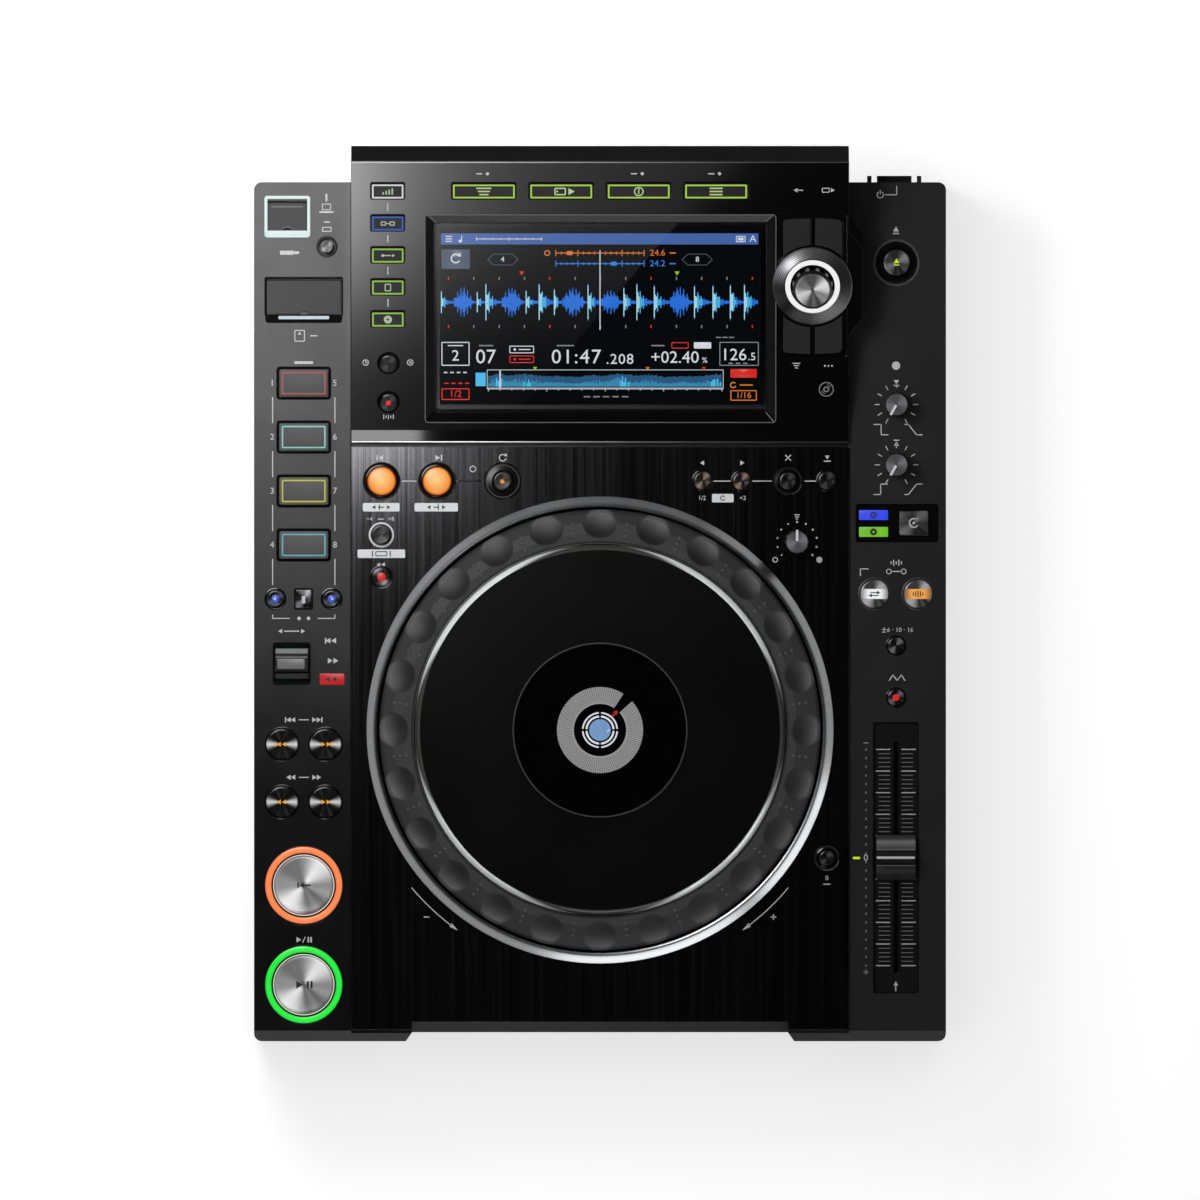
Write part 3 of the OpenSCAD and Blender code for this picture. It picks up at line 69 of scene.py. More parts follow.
def softened(bm, faces, width, segments=2):  # rounds the rim of the given faces
    rim = {e for f in faces for e in f.edges if sum(g in faces for g in e.link_faces) == 1}
    bmesh.ops.bevel(bm, geom=list(rim), offset=width, offset_type="OFFSET", segments=segments,
                    profile=0.5, affect="EDGES", material=-1, clamp_overlap=True)


def newFaces(bm, before):
    return [f for f in bm.faces if all(v not in before for v in f.verts)]


def solid(bm, before, place, thick, edge=0.0):  # the faces drawn since before become a slab in its place
    lid = raised(bm, newFaces(bm, before), thick)
    if edge:
        softened(bm, lid, edge)
    moved(bm, [v for v in bm.verts if v not in before], place)


def rectangle(bm, size, corner, steps=3):
    quad = bmesh.ops.create_grid(bm, x_segments=1, y_segments=1, size=0.5)["verts"]
    bmesh.ops.scale(bm, vec=(size[0], size[1], 1), verts=quad)
    if corner:
        bmesh.ops.bevel(bm, geom=quad, offset=corner, offset_type="OFFSET", segments=steps,
                        profile=0.5, affect="VERTICES", material=-1)


def plate(bm, size, place, thick=0.05, corner=0.0, edge=0.0):
    before = set(bm.verts)
    rectangle(bm, size, corner)
    solid(bm, before, place, thick, edge)


def disc(bm, radius, place, thick=0.05, sides=32, edge=0.0):
    before = set(bm.verts)
    bmesh.ops.create_circle(bm, cap_ends=True, segments=sides, radius=radius)
    solid(bm, before, place, thick, edge)


def band(bm, r0, r1, place, thick=0.05, start=0.0, sweep=360.0, steps=64):  # flat ring or part of one
    before = set(bm.verts)
    ends = [bm.verts.new((r, 0, 0)) for r in (r0, r1)]
    edge = bm.edges.new(ends)
    bmesh.ops.rotate(bm, matrix=Matrix.Rotation(math.radians(start), 3, "Z"), verts=ends)
    bmesh.ops.spin(bm, geom=ends + [edge], cent=(0, 0, 0), axis=(0, 0, 1), angle=math.radians(sweep),
                   steps=steps, use_merge=sweep >= 359.9, use_duplicate=False)
    solid(bm, before, place, thick)


def frameLine(bm, size, line, place, thick=0.05, corner=0.6):  # outline of a rectangle
    before = set(bm.verts)
    rectangle(bm, size, corner)
    flat = newFaces(bm, before)
    bmesh.ops.inset_region(bm, faces=flat, thickness=line, use_even_offset=True, use_boundary=True)
    bmesh.ops.delete(bm, geom=[f for f in flat if f.is_valid], context="FACES")
    solid(bm, before, place, thick)


def wedge(bm, radius, place, thick=0.05, sides=3, stretch=1.0):  # arrow heads point along +X
    before = set(bm.verts)
    tips = bmesh.ops.create_circle(bm, cap_ends=True, segments=sides, radius=radius)["verts"]
    bmesh.ops.rotate(bm, matrix=Matrix.Rotation(-math.pi / 2, 3, "Z"), verts=tips)
    bmesh.ops.scale(bm, vec=(stretch, 1, 1), verts=tips)
    solid(bm, before, place, thick)


def line(bm, a, b, width, place, thick=0.05):
    run = Vector((b[0] - a[0], b[1] - a[1]))
    turn = math.degrees(math.atan2(run.y, run.x))
    plate(bm, (run.length + width * 0.6, width),
          place @ seat((a[0] + b[0]) / 2, (a[1] + b[1]) / 2, 0, turn), thick)


def path(bm, points, width, place, thick=0.05):
    for a, b in zip(points, points[1:]):
        line(bm, a, b, width, place, thick)


def turned(bm, profile, place, steps=64):  # a lathe profile of (radius, height) points
    before = set(bm.verts)
    pts = [bm.verts.new((r, 0, z)) for r, z in profile]
    edges = [bm.edges.new(p) for p in zip(pts, pts[1:])]
    bmesh.ops.spin(bm, geom=pts + edges, cent=(0, 0, 0), axis=(0, 0, 1), angle=2 * math.pi,
                   steps=steps, use_merge=True, use_duplicate=False)
    bmesh.ops.remove_doubles(bm, verts=[v for v in bm.verts if v not in before], dist=0.0004)
    moved(bm, [v for v in bm.verts if v not in before], place)


def digits(bm, text, height, place, thick=0.05, spacing=1.0):  # numerals and signs only
    curve = bpy.data.curves.new("digits", "FONT")
    curve.body, curve.size, curve.align_x, curve.align_y = text, height * 1.35, "CENTER", "CENTER"
    curve.space_character, curve.resolution_u = spacing, 3
    holder = bpy.data.objects.new("digits", curve)
    mesh = holder.to_mesh()
    before = set(bm.verts)
    bm.from_mesh(mesh)
    holder.to_mesh_clear()
    bpy.data.objects.remove(holder)
    bpy.data.curves.remove(curve)
    bmesh.ops.remove_doubles(bm, verts=[v for v in bm.verts if v not in before], dist=0.0001)
    solid(bm, before, place, thick)


def markDisc(bm, spots):  # own map of each turned face: offset from the disc's centre, turned to the angle of its painted highlight wedges
    layer = bm.loops.layers.uv.get("disc") or bm.loops.layers.uv.new("disc")
    for f in bm.faces:
        mid = f.calc_center_median()
        x, y, radius, turn = min(spots, key=lambda s: (mid.x - s[0]) ** 2 + (mid.y - s[1]) ** 2)
        c, s = math.cos(math.radians(-turn)), math.sin(math.radians(-turn))
        for loop in f.loops:
            u, v = (loop.vert.co.x - x) / radius, (loop.vert.co.y - y) / radius
            loop[layer].uv = (u * c - v * s, u * s + v * c)


def piece(bm, name, body, material, standsFor=(), smooth=35):
    bmesh.ops.recalc_face_normals(bm, faces=bm.faces)
    bmesh.ops.scale(bm, vec=(mm, mm, mm), verts=bm.verts)
    mesh = bpy.data.meshes.new(name)
    bm.to_mesh(mesh)
    bm.free()
    mesh.materials.append(material)
    mesh.shade_smooth()
    if smooth:
        mesh.set_sharp_from_angle(angle=math.radians(smooth))
    made = bpy.data.objects.new(name, mesh)
    bpy.context.scene.collection.objects.link(made)
    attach(made, body)
    if standsFor:
        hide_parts(*standsFor)
    return made


def pen(on, lift, thick):  # a new mesh, and a function that draws flat shapes at one height on it
    bm = fresh()

    def draw(*rows):  # each row: shape, x, y, its size, then a wedge's turn or the shape's own extras
        for shape, x, y, *rest in rows:
            count = 2 if shape in (band, frameLine, digits) else 1
            size, extras = rest[:count], rest[count:]
            turn = extras.pop(0) if shape is wedge and extras else 0.0
            shape(bm, *size, on(x, y, lift, turn), thick, *extras)

    return bm, draw


def sheet(name, body, slotName, material, on, lift, thick, *rows):  # a piece that is flat shapes only
    bm, draw = pen(on, lift, thick)
    draw(*rows)
    return piece(bm, name, body, material)


class Signal:  # one number on its way through a shader; sums and products add Math nodes
    def __init__(self, paint, socket):
        self.paint, self.socket = paint, socket

    def maths(self, operation, *others, swap=False):
        values = [self.socket] + [o.socket if isinstance(o, Signal) else o for o in others]
        if swap:
            values.reverse()
        made = self.paint.node("ShaderNodeMath", {"operation": operation}, dict(enumerate(values)))
        return Signal(self.paint, made.outputs[0])

    def __add__(self, o): return self.maths("ADD", o)
    def __radd__(self, o): return self.maths("ADD", o)
    def __sub__(self, o): return self.maths("SUBTRACT", o)
    def __rsub__(self, o): return self.maths("SUBTRACT", o, swap=True)
    def __mul__(self, o): return self.maths("MULTIPLY", o)
    def __rmul__(self, o): return self.maths("MULTIPLY", o)
    def __truediv__(self, o): return self.maths("DIVIDE", o)
    def __rtruediv__(self, o): return self.maths("DIVIDE", o, swap=True)
    def __pow__(self, o): return self.maths("POWER", o)

    def clamped(self):
        return self.maths("MAXIMUM", 0.0).maths("MINIMUM", 1.0)

    def step(self, low, high):  # smooth rise from 0 at low to 1 at high
        made = self.paint.node("ShaderNodeMapRange", {"interpolation_type": "SMOOTHSTEP"},
                               {"Value": self.socket, "From Min": low, "From Max": high})
        return Signal(self.paint, made.outputs["Result"])


def shade(code, strength=1.0):  # "#rrggbb" as the shader's linear colour
    parts = [int(code[i:i + 2], 16) / 255 for i in (1, 3, 5)]
    linear = [p / 12.92 if p <= 0.04045 else ((p + 0.055) / 1.055) ** 2.4 for p in parts]
    return tuple(strength * p for p in linear) + (1.0,)


class Paint:
    def __init__(self, name):
        self.material = bpy.data.materials.new(name)
        self.material.use_nodes = True
        self.tree = self.material.node_tree
        self.surface = self.tree.nodes["Principled BSDF"]
        self.output = self.tree.nodes["Material Output"]

    def node(self, kind, settings=None, sockets=None):
        made = self.tree.nodes.new(kind)
        for key, value in (settings or {}).items():
            if key == "stops":
                ramp = made.color_ramp
                while len(ramp.elements) < len(value):
                    ramp.elements.new(0.5)
                for element, (place, colour) in zip(ramp.elements, value):
                    element.position, element.color = place, colour
            else:
                setattr(made, key, value)
        for key, value in (sockets or {}).items():
            self.feed(made.inputs[key], value)
        return made

    def feed(self, socket, value):
        if isinstance(value, Signal):
            value = value.socket
        if isinstance(value, bpy.types.NodeSocket):
            self.tree.links.new(value, socket)
        else:
            socket.default_value = value

    def set(self, **values):  # underscores stand for the spaces in socket names
        for key, value in values.items():
            self.feed(self.surface.inputs[key.replace("_", " ")], value)
        return self

    def place(self, stretch):  # position on the piece, in metres
        coords = self.node("ShaderNodeTexCoord").outputs["Object"]
        return self.node("ShaderNodeVectorMath", {"operation": "MULTIPLY"}, {0: coords, 1: stretch}).outputs[0]

    def axes(self, coords=None):  # the three numbers of a place on the piece, in metres
        coords = coords or self.node("ShaderNodeTexCoord").outputs["Object"]
        split = self.node("ShaderNodeSeparateXYZ", None, {0: coords})
        return [Signal(self, out) for out in split.outputs]

    def noise(self, scale, stretch=(1, 1, 1), detail=2.0, rough=0.5):
        made = self.node("ShaderNodeTexNoise", None, {"Vector": self.place(stretch), "Scale": scale,
                                                      "Detail": detail, "Roughness": rough})
        return Signal(self, made.outputs[0])

    def blend(self, amount, a, b):  # colour a where amount is 0, b where it is 1
        made = self.node("ShaderNodeMix", {"data_type": "RGBA"}, {0: amount})
        colours = [s for s in made.inputs if s.type == "RGBA"]
        self.feed(colours[0], a)
        self.feed(colours[1], b)
        return [s for s in made.outputs if s.type == "RGBA"][0]

    def bump(self, height, depth, strength=1.0, normal=None):
        sockets = {"Height": height, "Distance": depth, "Strength": strength}
        if normal is not None:
            sockets["Normal"] = normal
        return self.node("ShaderNodeBump", None, sockets).outputs[0]

    def rounded(self, radius):  # soft highlights along a moulded part's edges
        return self.node("ShaderNodeBevel", {"samples": 4}, {"Radius": radius}).outputs[0]


def moulded(name, colour, rough=0.45, grain=0.00003, edge=0.0005, spread=0.25, **extra):
    p = Paint(name)  # moulded plastic: fine spark-eroded grain, slightly uneven gloss, soft edges
    fine, broad = p.noise(2600, detail=1.0), p.noise(38, detail=3.0)
    tone = (broad * spread + (1 - spread / 2)).clamped()
    p.set(Base_Color=p.blend(tone, shade(colour, 0.7), shade(colour, 1.12)),
          Roughness=(broad - 0.5) * 0.12 + rough, **extra)
    p.set(Normal=p.bump(fine, grain, normal=p.rounded(edge) if edge else None))
    return p.material


def rubber(name, colour, rough=0.62):
    p = Paint(name)
    skin, dust = p.noise(1900, detail=2.0), p.noise(60, detail=4.0, rough=0.6)
    p.set(Base_Color=p.blend(dust, shade(colour, 0.8), shade(colour, 1.25)), Roughness=dust * 0.12 + rough)
    p.set(Normal=p.bump(skin, 0.00005), Specular_IOR_Level=0.4)
    return p.material


def polished(name, colour, rough=0.12, metal=1.0, **extra):
    p = Paint(name)
    wipe = p.noise(90, detail=4.0)
    p.set(Base_Color=p.blend(wipe, shade(colour, 0.93), shade(colour)), Metallic=metal,
          Roughness=(wipe - 0.5) * 0.08 + rough, **extra)
    return p.material


def steel(name, colour, rough=0.35):
    p = Paint(name)  # rolled sheet
    grain = p.noise(300, stretch=(0.06, 1, 1), detail=3.0)
    p.set(Base_Color=p.blend(grain, shade(colour, 0.8), shade(colour, 1.1)), Metallic=1.0,
          Roughness=grain * 0.2 + rough - 0.1, Normal=p.bump(grain, 0.00002))
    return p.material


def lit(name, colour, strength=1.0, base="#101010", unevenness=0.12, rough=0.35):
    p = Paint(name)  # a lamp behind a diffuser
    glow = p.noise(220, detail=1.0)
    p.set(Base_Color=shade(base), Roughness=rough, Emission_Strength=strength)
    p.set(Emission_Color=p.blend(glow, shade(colour, 1 - unevenness), shade(colour)))
    return p.material


def printed(name, colour, rough=0.5):
    p = Paint(name)  # screen-printed ink, slightly uneven in its cover
    cover = p.noise(900, detail=2.0)
    p.set(Base_Color=p.blend(cover, shade(colour, 0.82), shade(colour)), Roughness=rough + (cover - 0.5) * 0.1)
    return p.material


def spun(name, dark, light, rough=0.3, metal=0.55, spread=2.6, side=1.0):
    p = Paint(name)  # turned metal: painted highlights in two opposite wedges, and fine rings
    uv = p.node("ShaderNodeUVMap", {"uv_map": "disc"}).outputs[0]
    u, v, w = p.axes(uv)
    radius = (u * u + v * v).maths("SQRT")
    angle = v.maths("ARCTAN2", u)
    main = angle.maths("COSINE").maths("ABSOLUTE") ** (spread * 2.2)
    second = (angle + 1.15).maths("COSINE").maths("ABSOLUTE") ** (spread * 8)
    third = (angle - 1.25).maths("COSINE").maths("ABSOLUTE") ** (spread * 14)
    streak = (angle * 9).maths("SINE") * 0.025
    rings = (radius * 150).maths("SINE")
    shine = main + second * (0.26 * side) + third * (0.13 * side) + streak * side + rings * 0.02
    shine = shine.clamped() * radius.step(0.0, 0.2)
    p.set(Base_Color=p.blend(shine, shade(dark), shade(light)), Metallic=metal, Roughness=rough + rings * 0.04)
    p.set(Normal=p.bump(rings, 0.000006, 0.6))
    return p.material


# finishes of the CAD nodes that stay as they are
baseBlack = moulded("baseBlack", "#131314", rough=0.5, grain=0.00004, edge=0.0006, Specular_IOR_Level=0.3)
keyBlack = moulded("keyBlack", "#070708", rough=0.3, grain=0.000006, edge=0.0003, spread=0.15)
socketBlack = moulded("socketBlack", "#0d0d0e", rough=0.5, grain=0.00003, edge=0.0)
doorGrey = moulded("doorGrey", "#2a2b2c", rough=0.42, grain=0.00001, edge=0.0003, Specular_IOR_Level=0.22)
keyGrey = moulded("keyGrey", "#1c1d1e", rough=0.4, grain=0.00001, edge=0.0003, Specular_IOR_Level=0.2)
footRubber = rubber("footRubber", "#151515")
sheetSteel = steel("sheetSteel", "#8c8f93")
panelBlack = moulded("panelBlack", "#0c0c0d", rough=0.55, grain=0.00002, edge=0.0002)
zincSteel = polished("zincSteel", "#a5a7aa", rough=0.28)
shaftSteel = polished("shaftSteel", "#9a9da1", rough=0.2)
castMetal = polished("castMetal", "#74777b", rough=0.4)
bronze = polished("bronze", "#b08a55", rough=0.35)


def casePlastic():
    p = Paint("casePlastic")  # moulded case: finest grain, with painted shade making the cue side a little darker
    x, y, z = p.axes()
    fine, broad = p.noise(2600, detail=1.0), p.noise(38, detail=3.0)
    # painted shade: the left, cue side of the case is darker
    paintedShadeLeft = p.blend(x.step(-0.08, 0.08), shade("#09090a"), shade("#151516"))
    notch = (1.0 - x.maths("ABSOLUTE").step(0.0885, 0.0895)) * 0.0042
    bumper = 1.0 - (y - notch).step(-0.2024, -0.2018)  # a coarser slope, so that the table doesn't shine in it
    p.set(Base_Color=p.blend(broad * 0.25, paintedShadeLeft, shade("#101011")), Roughness=(broad - 0.5) * 0.12 + 0.36
          - (1.0 - y.step(-0.14, 0.03)) * (1.0 - x.step(-0.08, 0.08)) * 0.14 + bumper * 0.6)
    p.set(Normal=p.bump(fine, 0.000014, normal=p.rounded(0.0006)))
    return p.material


def brushedDeck():
    p = Paint("brushedDeck")  # black anodised sheet, brushed from front to rear
    hairs = p.noise(2600, stretch=(1, 0.004, 1), detail=2.0, rough=0.6)
    bands = p.noise(420, stretch=(1, 0.006, 1), detail=4.0, rough=0.7)
    p.set(Base_Color=p.blend((bands * 0.5 + hairs * 0.5).step(0.3, 0.7), shade("#38383a"), shade("#646568")),
          Metallic=1.0, Roughness=0.16 + (bands - 0.5) * 0.09 + (hairs - 0.5) * 0.08)
    p.set(Normal=p.bump(hairs, 0.000006, 0.8, p.rounded(0.0004)))
    return p.material


def roundJog(p):  # a place's offset from the wheel's axle and its distance from it, in metres
    forward = 0.0629  # from the middle of the case to the axle
    x, y, z = p.axes()
    dy = y + forward
    return x, dy, (x * x + dy * dy).maths("SQRT")


def jogBlack():
    p = Paint("jogBlack")  # satin black disc, turned in very fine rings
    x, dy, radius = roundJog(p)
    rings = (radius * 9000).maths("SINE")
    broad = p.noise(26, detail=2.0)
    p.set(Base_Color=p.blend(broad, shade("#040404"), shade("#060607")), Metallic=0.0, Specular_IOR_Level=0.27,
          Roughness=0.24 + (broad - 0.5) * 0.05, Normal=p.bump(rings, 0.000004, 0.1, p.rounded(0.0003)))
    return p.material


def rimSilver():
    p = Paint("rimSilver")  # bright turned aluminium with a satin grain round it
    x, dy, radius = roundJog(p)
    rings = (radius * 14000).maths("SINE")
    outer = radius.step(0.1034, 0.1060)  # the inner shoulder is painted darker: painted shade on the rim's inner flank
    p.set(Base_Color=p.blend(outer, shade("#808285"), shade("#c0c2c4")), Metallic=1.0,
          Roughness=0.26 + rings * 0.04,
          Normal=p.bump(rings, 0.000004, 0.5, p.rounded(0.0003)))
    return p.material


def bevelPaintedHighlight():
    p = Paint("bevelPaintedHighlight")  # turned edge of the wheel's plate: painted highlights in four bright arcs, dark between them
    x, dy, radius = roundJog(p)
    radius = radius * 1000
    turn = (dy.maths("ARCTAN2", x) * 2).maths("SINE")
    highlightArc = (turn * turn + (radius - 84.8) * 0.22).step(0.15, 0.6)
    p.set(Base_Color=p.blend(highlightArc, shade("#33342f"), shade("#f2f6f5")), Metallic=highlightArc * 0.3, Roughness=0.22)
    return p.material


def gripRubber():
    p = Paint("gripRubber")  # moulded grip: each finger dimple has painted shade, dark on its inner side and light towards its outer side
    plan = {"gaps": 24, "ring": 95.5, "dimple": 7.6}
    x, dy, radius = roundJog(p)
    radius = radius * 1000
    part = dy.maths("ARCTAN2", x) * (plan["gaps"] / (2 * math.pi)) + plan["gaps"] + 0.5
    along = (part.maths("FRACT") - 0.5) * radius * (2 * math.pi / plan["gaps"] / plan["dimple"])
    out = (radius - plan["ring"]) / plan["dimple"]
    inside = 1.0 - (along * along + out * out).maths("SQRT").step(0.82, 1.06)
    # painted shade across each dimple: dark inside, light towards its outer side
    rise = (out * 0.62 + 0.42).clamped() ** 2
    skin, dust = p.noise(1900, detail=2.0), p.noise(60, detail=4.0, rough=0.6)
    plain = p.blend(dust, shade("#262627"), shade("#2e2e2f"))
    p.set(Base_Color=p.blend(inside, plain, p.blend(rise, shade("#131314"), shade("#666667"))),
          Roughness=dust * 0.12 + 0.55, Specular_IOR_Level=0.4, Normal=p.bump(skin, 0.00005))
    return p.material


def podBlack():
    p = Paint("podBlack")  # polished black acrylic skin, with the finest dust in its gloss
    dust, broad = p.noise(3200, detail=1.0), p.noise(14, detail=2.0)
    p.set(Base_Color=p.blend(broad, shade("#040404"), shade("#080809")), Specular_IOR_Level=0.5,
          Roughness=0.05 + dust.step(0.62, 0.9) * 0.05, Normal=p.rounded(0.0004))
    return p.material


def capPlastic():
    p = Paint("capPlastic")  # fader cap: satin slopes, with painted light on the rear one and painted shade by its bar
    x, y, z = p.axes()
    away = (y * 1000 + 121.9) / 10.2
    ramp = p.node("ShaderNodeValToRGB", {"stops": ((0.0, shade("#101011")), (0.3, shade("#2a2b2c")),
                                                   (0.36, shade("#0a0a0a")), (0.64, shade("#121213")),
                                                   (0.68, shade("#3a3b3c")), (0.86, shade("#737476")),
                                                   (0.92, shade("#3c3d3e")), (1.0, shade("#2a2b2c")))},
                  {0: away * 0.5 + 0.5}).outputs[0]
    p.set(Base_Color=ramp, Roughness=0.38, Specular_IOR_Level=0.3, Normal=p.rounded(0.0003))
    return p.material


def glassPane():
    p = Paint("glassPane")  # clear pane: only its surface shine shows over the display
    shine = p.node("ShaderNodeBsdfGlossy", None, {"Color": (1, 1, 1, 1), "Roughness": 0.0})
    clear = p.node("ShaderNodeBsdfTransparent", None, {"Color": (0.97, 0.98, 0.98, 1)})
    rim = Signal(p, p.node("ShaderNodeFresnel", None, {"IOR": 1.45}).outputs[0])
    outside = 1.0 - Signal(p, p.node("ShaderNodeNewGeometry").outputs["Backfacing"])
    mix = p.node("ShaderNodeMixShader", None, {0: rim * outside, 1: clear.outputs[0], 2: shine.outputs[0]})
    p.tree.links.new(mix.outputs[0], p.output.inputs["Surface"])
    p.tree.nodes.remove(p.surface)
    return p.material


def displayBlack():
    p = Paint("displayBlack")  # unlit part of the liquid crystal display
    cells = p.noise(5200, detail=0.0)
    p.set(Base_Color=shade("#020203"), Roughness=0.55, Emission_Strength=1.0, Specular_IOR_Level=0.02)
    p.set(Emission_Color=p.blend(cells, shade("#010203"), shade("#040609")))
    return p.material


def boardGreen():
    p = Paint("boardGreen")  # solder mask over copper tracks
    x, y, z = p.axes()
    tracks = ((x * 2400).maths("SINE") * (y * 1900).maths("SINE")).step(0.2, 0.5)
    p.set(Base_Color=p.blend(tracks, shade("#12482a"), shade("#1f6a3c")), Roughness=0.35, Coat_Weight=0.4)
    return p.material


deckMetal, podGloss, paneClear, displayDark = brushedDeck(), podBlack(), glassPane(), displayBlack()
lensBlack = polished("lensBlack", "#020202", rough=0.06, metal=0.0)
finishes = {
    "lower_case": baseBlack, "upper_case": casePlastic(), "deck_plate": deckMetal, "display_housing": podGloss,
    "screen_glass": paneClear, "lcd_panel": displayDark, "rear_panel": panelBlack, "rear_sockets": socketBlack,
    "card_sockets": socketBlack, "rubber_feet": footRubber, "case_screws": zincSteel, "disc_drive": sheetSteel,
    "circuit_boards": boardGreen(), "power_supply": sheetSteel, "jog_post": castMetal, "jog_bearing": bronze,
    "jog_display": lensBlack, "jog_rim": rimSilver(), "jog_dial": gripRubber(),
    "jog_plate": jogBlack(), "jog_encoder": panelBlack, "fader_unit": keyBlack, "selector_shaft": shaftSteel,
    "direction_lever": keyBlack, "usb_flap": doorGrey, "sd_door": doorGrey, "power_switch": keyBlack,
    "source_keys": keyBlack, "browse_keys": keyBlack, "selector_keys": keyGrey,
    "jog_mode": keyBlack, "fader_cap": capPlastic()}
for name, node in nodes.items():
    node.data.materials.clear()
    node.data.materials.append(finishes.get(name, keyBlack))
print("finishes on the CAD nodes")

inkWhite = printed("inkWhite", "#b9bbbd")
inkGrey = printed("inkGrey", "#77797b")
inkDark = printed("inkDark", "#0a0a0a")
pillWhite = printed("pillWhite", "#d2d4d6")
seatBlack = moulded("seatBlack", "#040405", rough=0.7, grain=0.00001, edge=0.0, spread=0.1,
                    Specular_IOR_Level=0.06)
seatGloss = polished("seatGloss", "#060607", rough=0.16, metal=0.0)
ringGrey = polished("ringGrey", "#343537", rough=0.3, metal=0.15)

leftPlan = {"x": -137.0, "pairDx": 10.05, "cueY": -134.7, "playY": -180.7, "trackY": -69.5, "searchY": -96.2,
            "leverX": -142.6, "leverY": -32.2, "bankY": -2.3, "padY": 97.5, "padStep": 24.95,
            "sd": (-137.0, 137.5), "usb": (-144.6, 174.5), "usbStop": (-126.3, 160.6)}
top = case["columnZ"]
flat = top - 0.01  # prints lie just on the column tops


def leftPrints():
    plan = {"stroke": 0.45, "padNumbers": 3.0}
    bm, draw = pen(seat, flat, 0.04)
    x = leftPlan["x"]
    for i in range(4):  # numerals beside the pads, with lines between them
        y = leftPlan["padY"] - i * leftPlan["padStep"]
        draw((digits, x - 14.6, y, str(i + 1), plan["padNumbers"]),
             (digits, x + 14.4, y, str(i + 5), plan["padNumbers"]))
        for dx in (-14.4, 14.4):
            line(bm, (x + dx, y - 6.6), (x + dx, y - 18.4), plan["stroke"], seat(0, 0, flat), 0.04)
    path(bm, [(x - 14.4, -9.7), (x - 14.4, -11.3), (x - 6.6, -11.3)], plan["stroke"], seat(0, 0, flat), 0.04)
    path(bm, [(x + 14.4, -9.7), (x + 14.4, -11.3), (x + 6.6, -11.3)], plan["stroke"], seat(0, 0, flat), 0.04)
    draw((disc, x - 2.2, -11.3, 0.8, 20), (disc, x + 2.2, -11.3, 0.8, 20))
    for dx in (-1.7, 1.7):  # pads' heading: a row of four small squares
        draw((plate, x + dx * 1.9, 107.0, (2.2, 1.2), 0.3), (plate, x + dx * 0.62, 107.0, (2.2, 1.2), 0.3))
    for dx in (-1.4, 1.2):  # direction: back, forward
        draw((wedge, -124.0 + dx, -21.6, 1.5, 180), (wedge, -123.9 - dx, -30.9, 1.5))
    draw((plate, -126.9, -21.6, (0.6, 2.6)), (plate, -142.6, -17.2, (7.0, 0.5)),
         (wedge, -147.6, -17.2, 1.2, 180), (wedge, -137.6, -17.2, 1.2))
    for y, bars in ((-58.2, True), (-84.8, False)):  # track search and search
        for side in (-1, 1):
            for k in (0, 1):
                draw((wedge, x + side * (4.6 + 2.1 * k), y, 1.35, 0 if side > 0 else 180))
            if bars:
                draw((plate, x + side * 8.4, y, (0.55, 2.4)))
        draw((plate, x, y, (4.6, 0.45)))
    draw((wedge, x - 2.6, -159.9, 1.5))  # play and pause
    line(bm, (x - 0.5, -161.2), (x + 0.7, -158.6), 0.4, seat(0, 0, flat), 0.04)
    for dx in (2.1, 3.4):
        draw((plate, x + dx, -159.9, (0.75, 2.5)))
    ux, uy = leftPlan["usb"]  # a memory stick over its socket, and a card
    draw((frameLine, -126.5, 179.0, (4.2, 3.0), 0.4, 0.3), (plate, -126.5, 176.6, (6.6, 0.8), 0.2),
         (plate, -126.5, 183.3, (0.9, 3.6), 0.2), (plate, -126.3, 172.0, (2.9, 0.6)),
         (frameLine, -126.3, 168.6, (4.4, 2.2), 0.4, 0.3), (plate, ux - 0.2, 157.8, (6.4, 1.9), 0.3),
         (plate, ux + 4.3, 157.8, (2.4, 1.3), 0.2), (frameLine, -138.9, 119.4, (4.8, 5.4), 0.4, 0.5),
         (wedge, -138.9, 120.4, 0.9, 90), (plate, -132.3, 119.4, (3.4, 0.5)))
    piece(bm, "prints_left", "case", inkWhite)


leftPrints()


def cardDoors():
    bm, draw = pen(seat, flat, 0.5)  # lit surround of the stick's door and lit slit of the card's door
    ux, uy = leftPlan["usb"]
    draw((frameLine, ux, uy, (21.1, 19.2), 1.35, 1.2), (plate, ux, uy - 7.6, (20.6, 2.2), 0.4))
    piece(bm, "door_light_upper", "case", lit("doorWhite", "#dcf0ee", 0.92, unevenness=0.2))
    bm = fresh()
    sx, sy = leftPlan["sd"]
    plate(bm, (23.4, 1.5), seat(sx, 127.8, flat), 0.12, 0.4)
    piece(bm, "door_light_lower", "case", lit("slitWhite", "#c6d6e2", 0.9, unevenness=0.2))
    bm = fresh()  # painted highlights: a bright lip by the pin of the stick's door, and a light edge round its finger notch
    shut = top - 0.31
    plate(bm, (14.6, 0.7), seat(ux, uy + 4.6, shut), 0.07, 0.2)
    band(bm, 3.25, 3.6, seat(ux, uy - 8.2, shut), 0.07, 33, 114, 16)
    piece(bm, "flap_highlights", "usb_flap", printed("lipGrey", "#5c5e60"))
    bm = fresh()  # painted shade: dark sheets in the gaps round the doors and the pads' wells
    frameLine(bm, (36.4, 18.2), 0.8, seat(sx, sy, flat), 0.09, 0.8)
    plate(bm, (35.6, 3.8), seat(sx, 127.2, flat), 0.07, 1.4)
    for i in range(4):
        frameLine(bm, (25.4, 15.4), 1.15, seat(leftPlan["x"], leftPlan["padY"] - i * leftPlan["padStep"], flat),
                  0.12, 1.7)
    piece(bm, "well_edges", "case", seatBlack)


cardDoors()


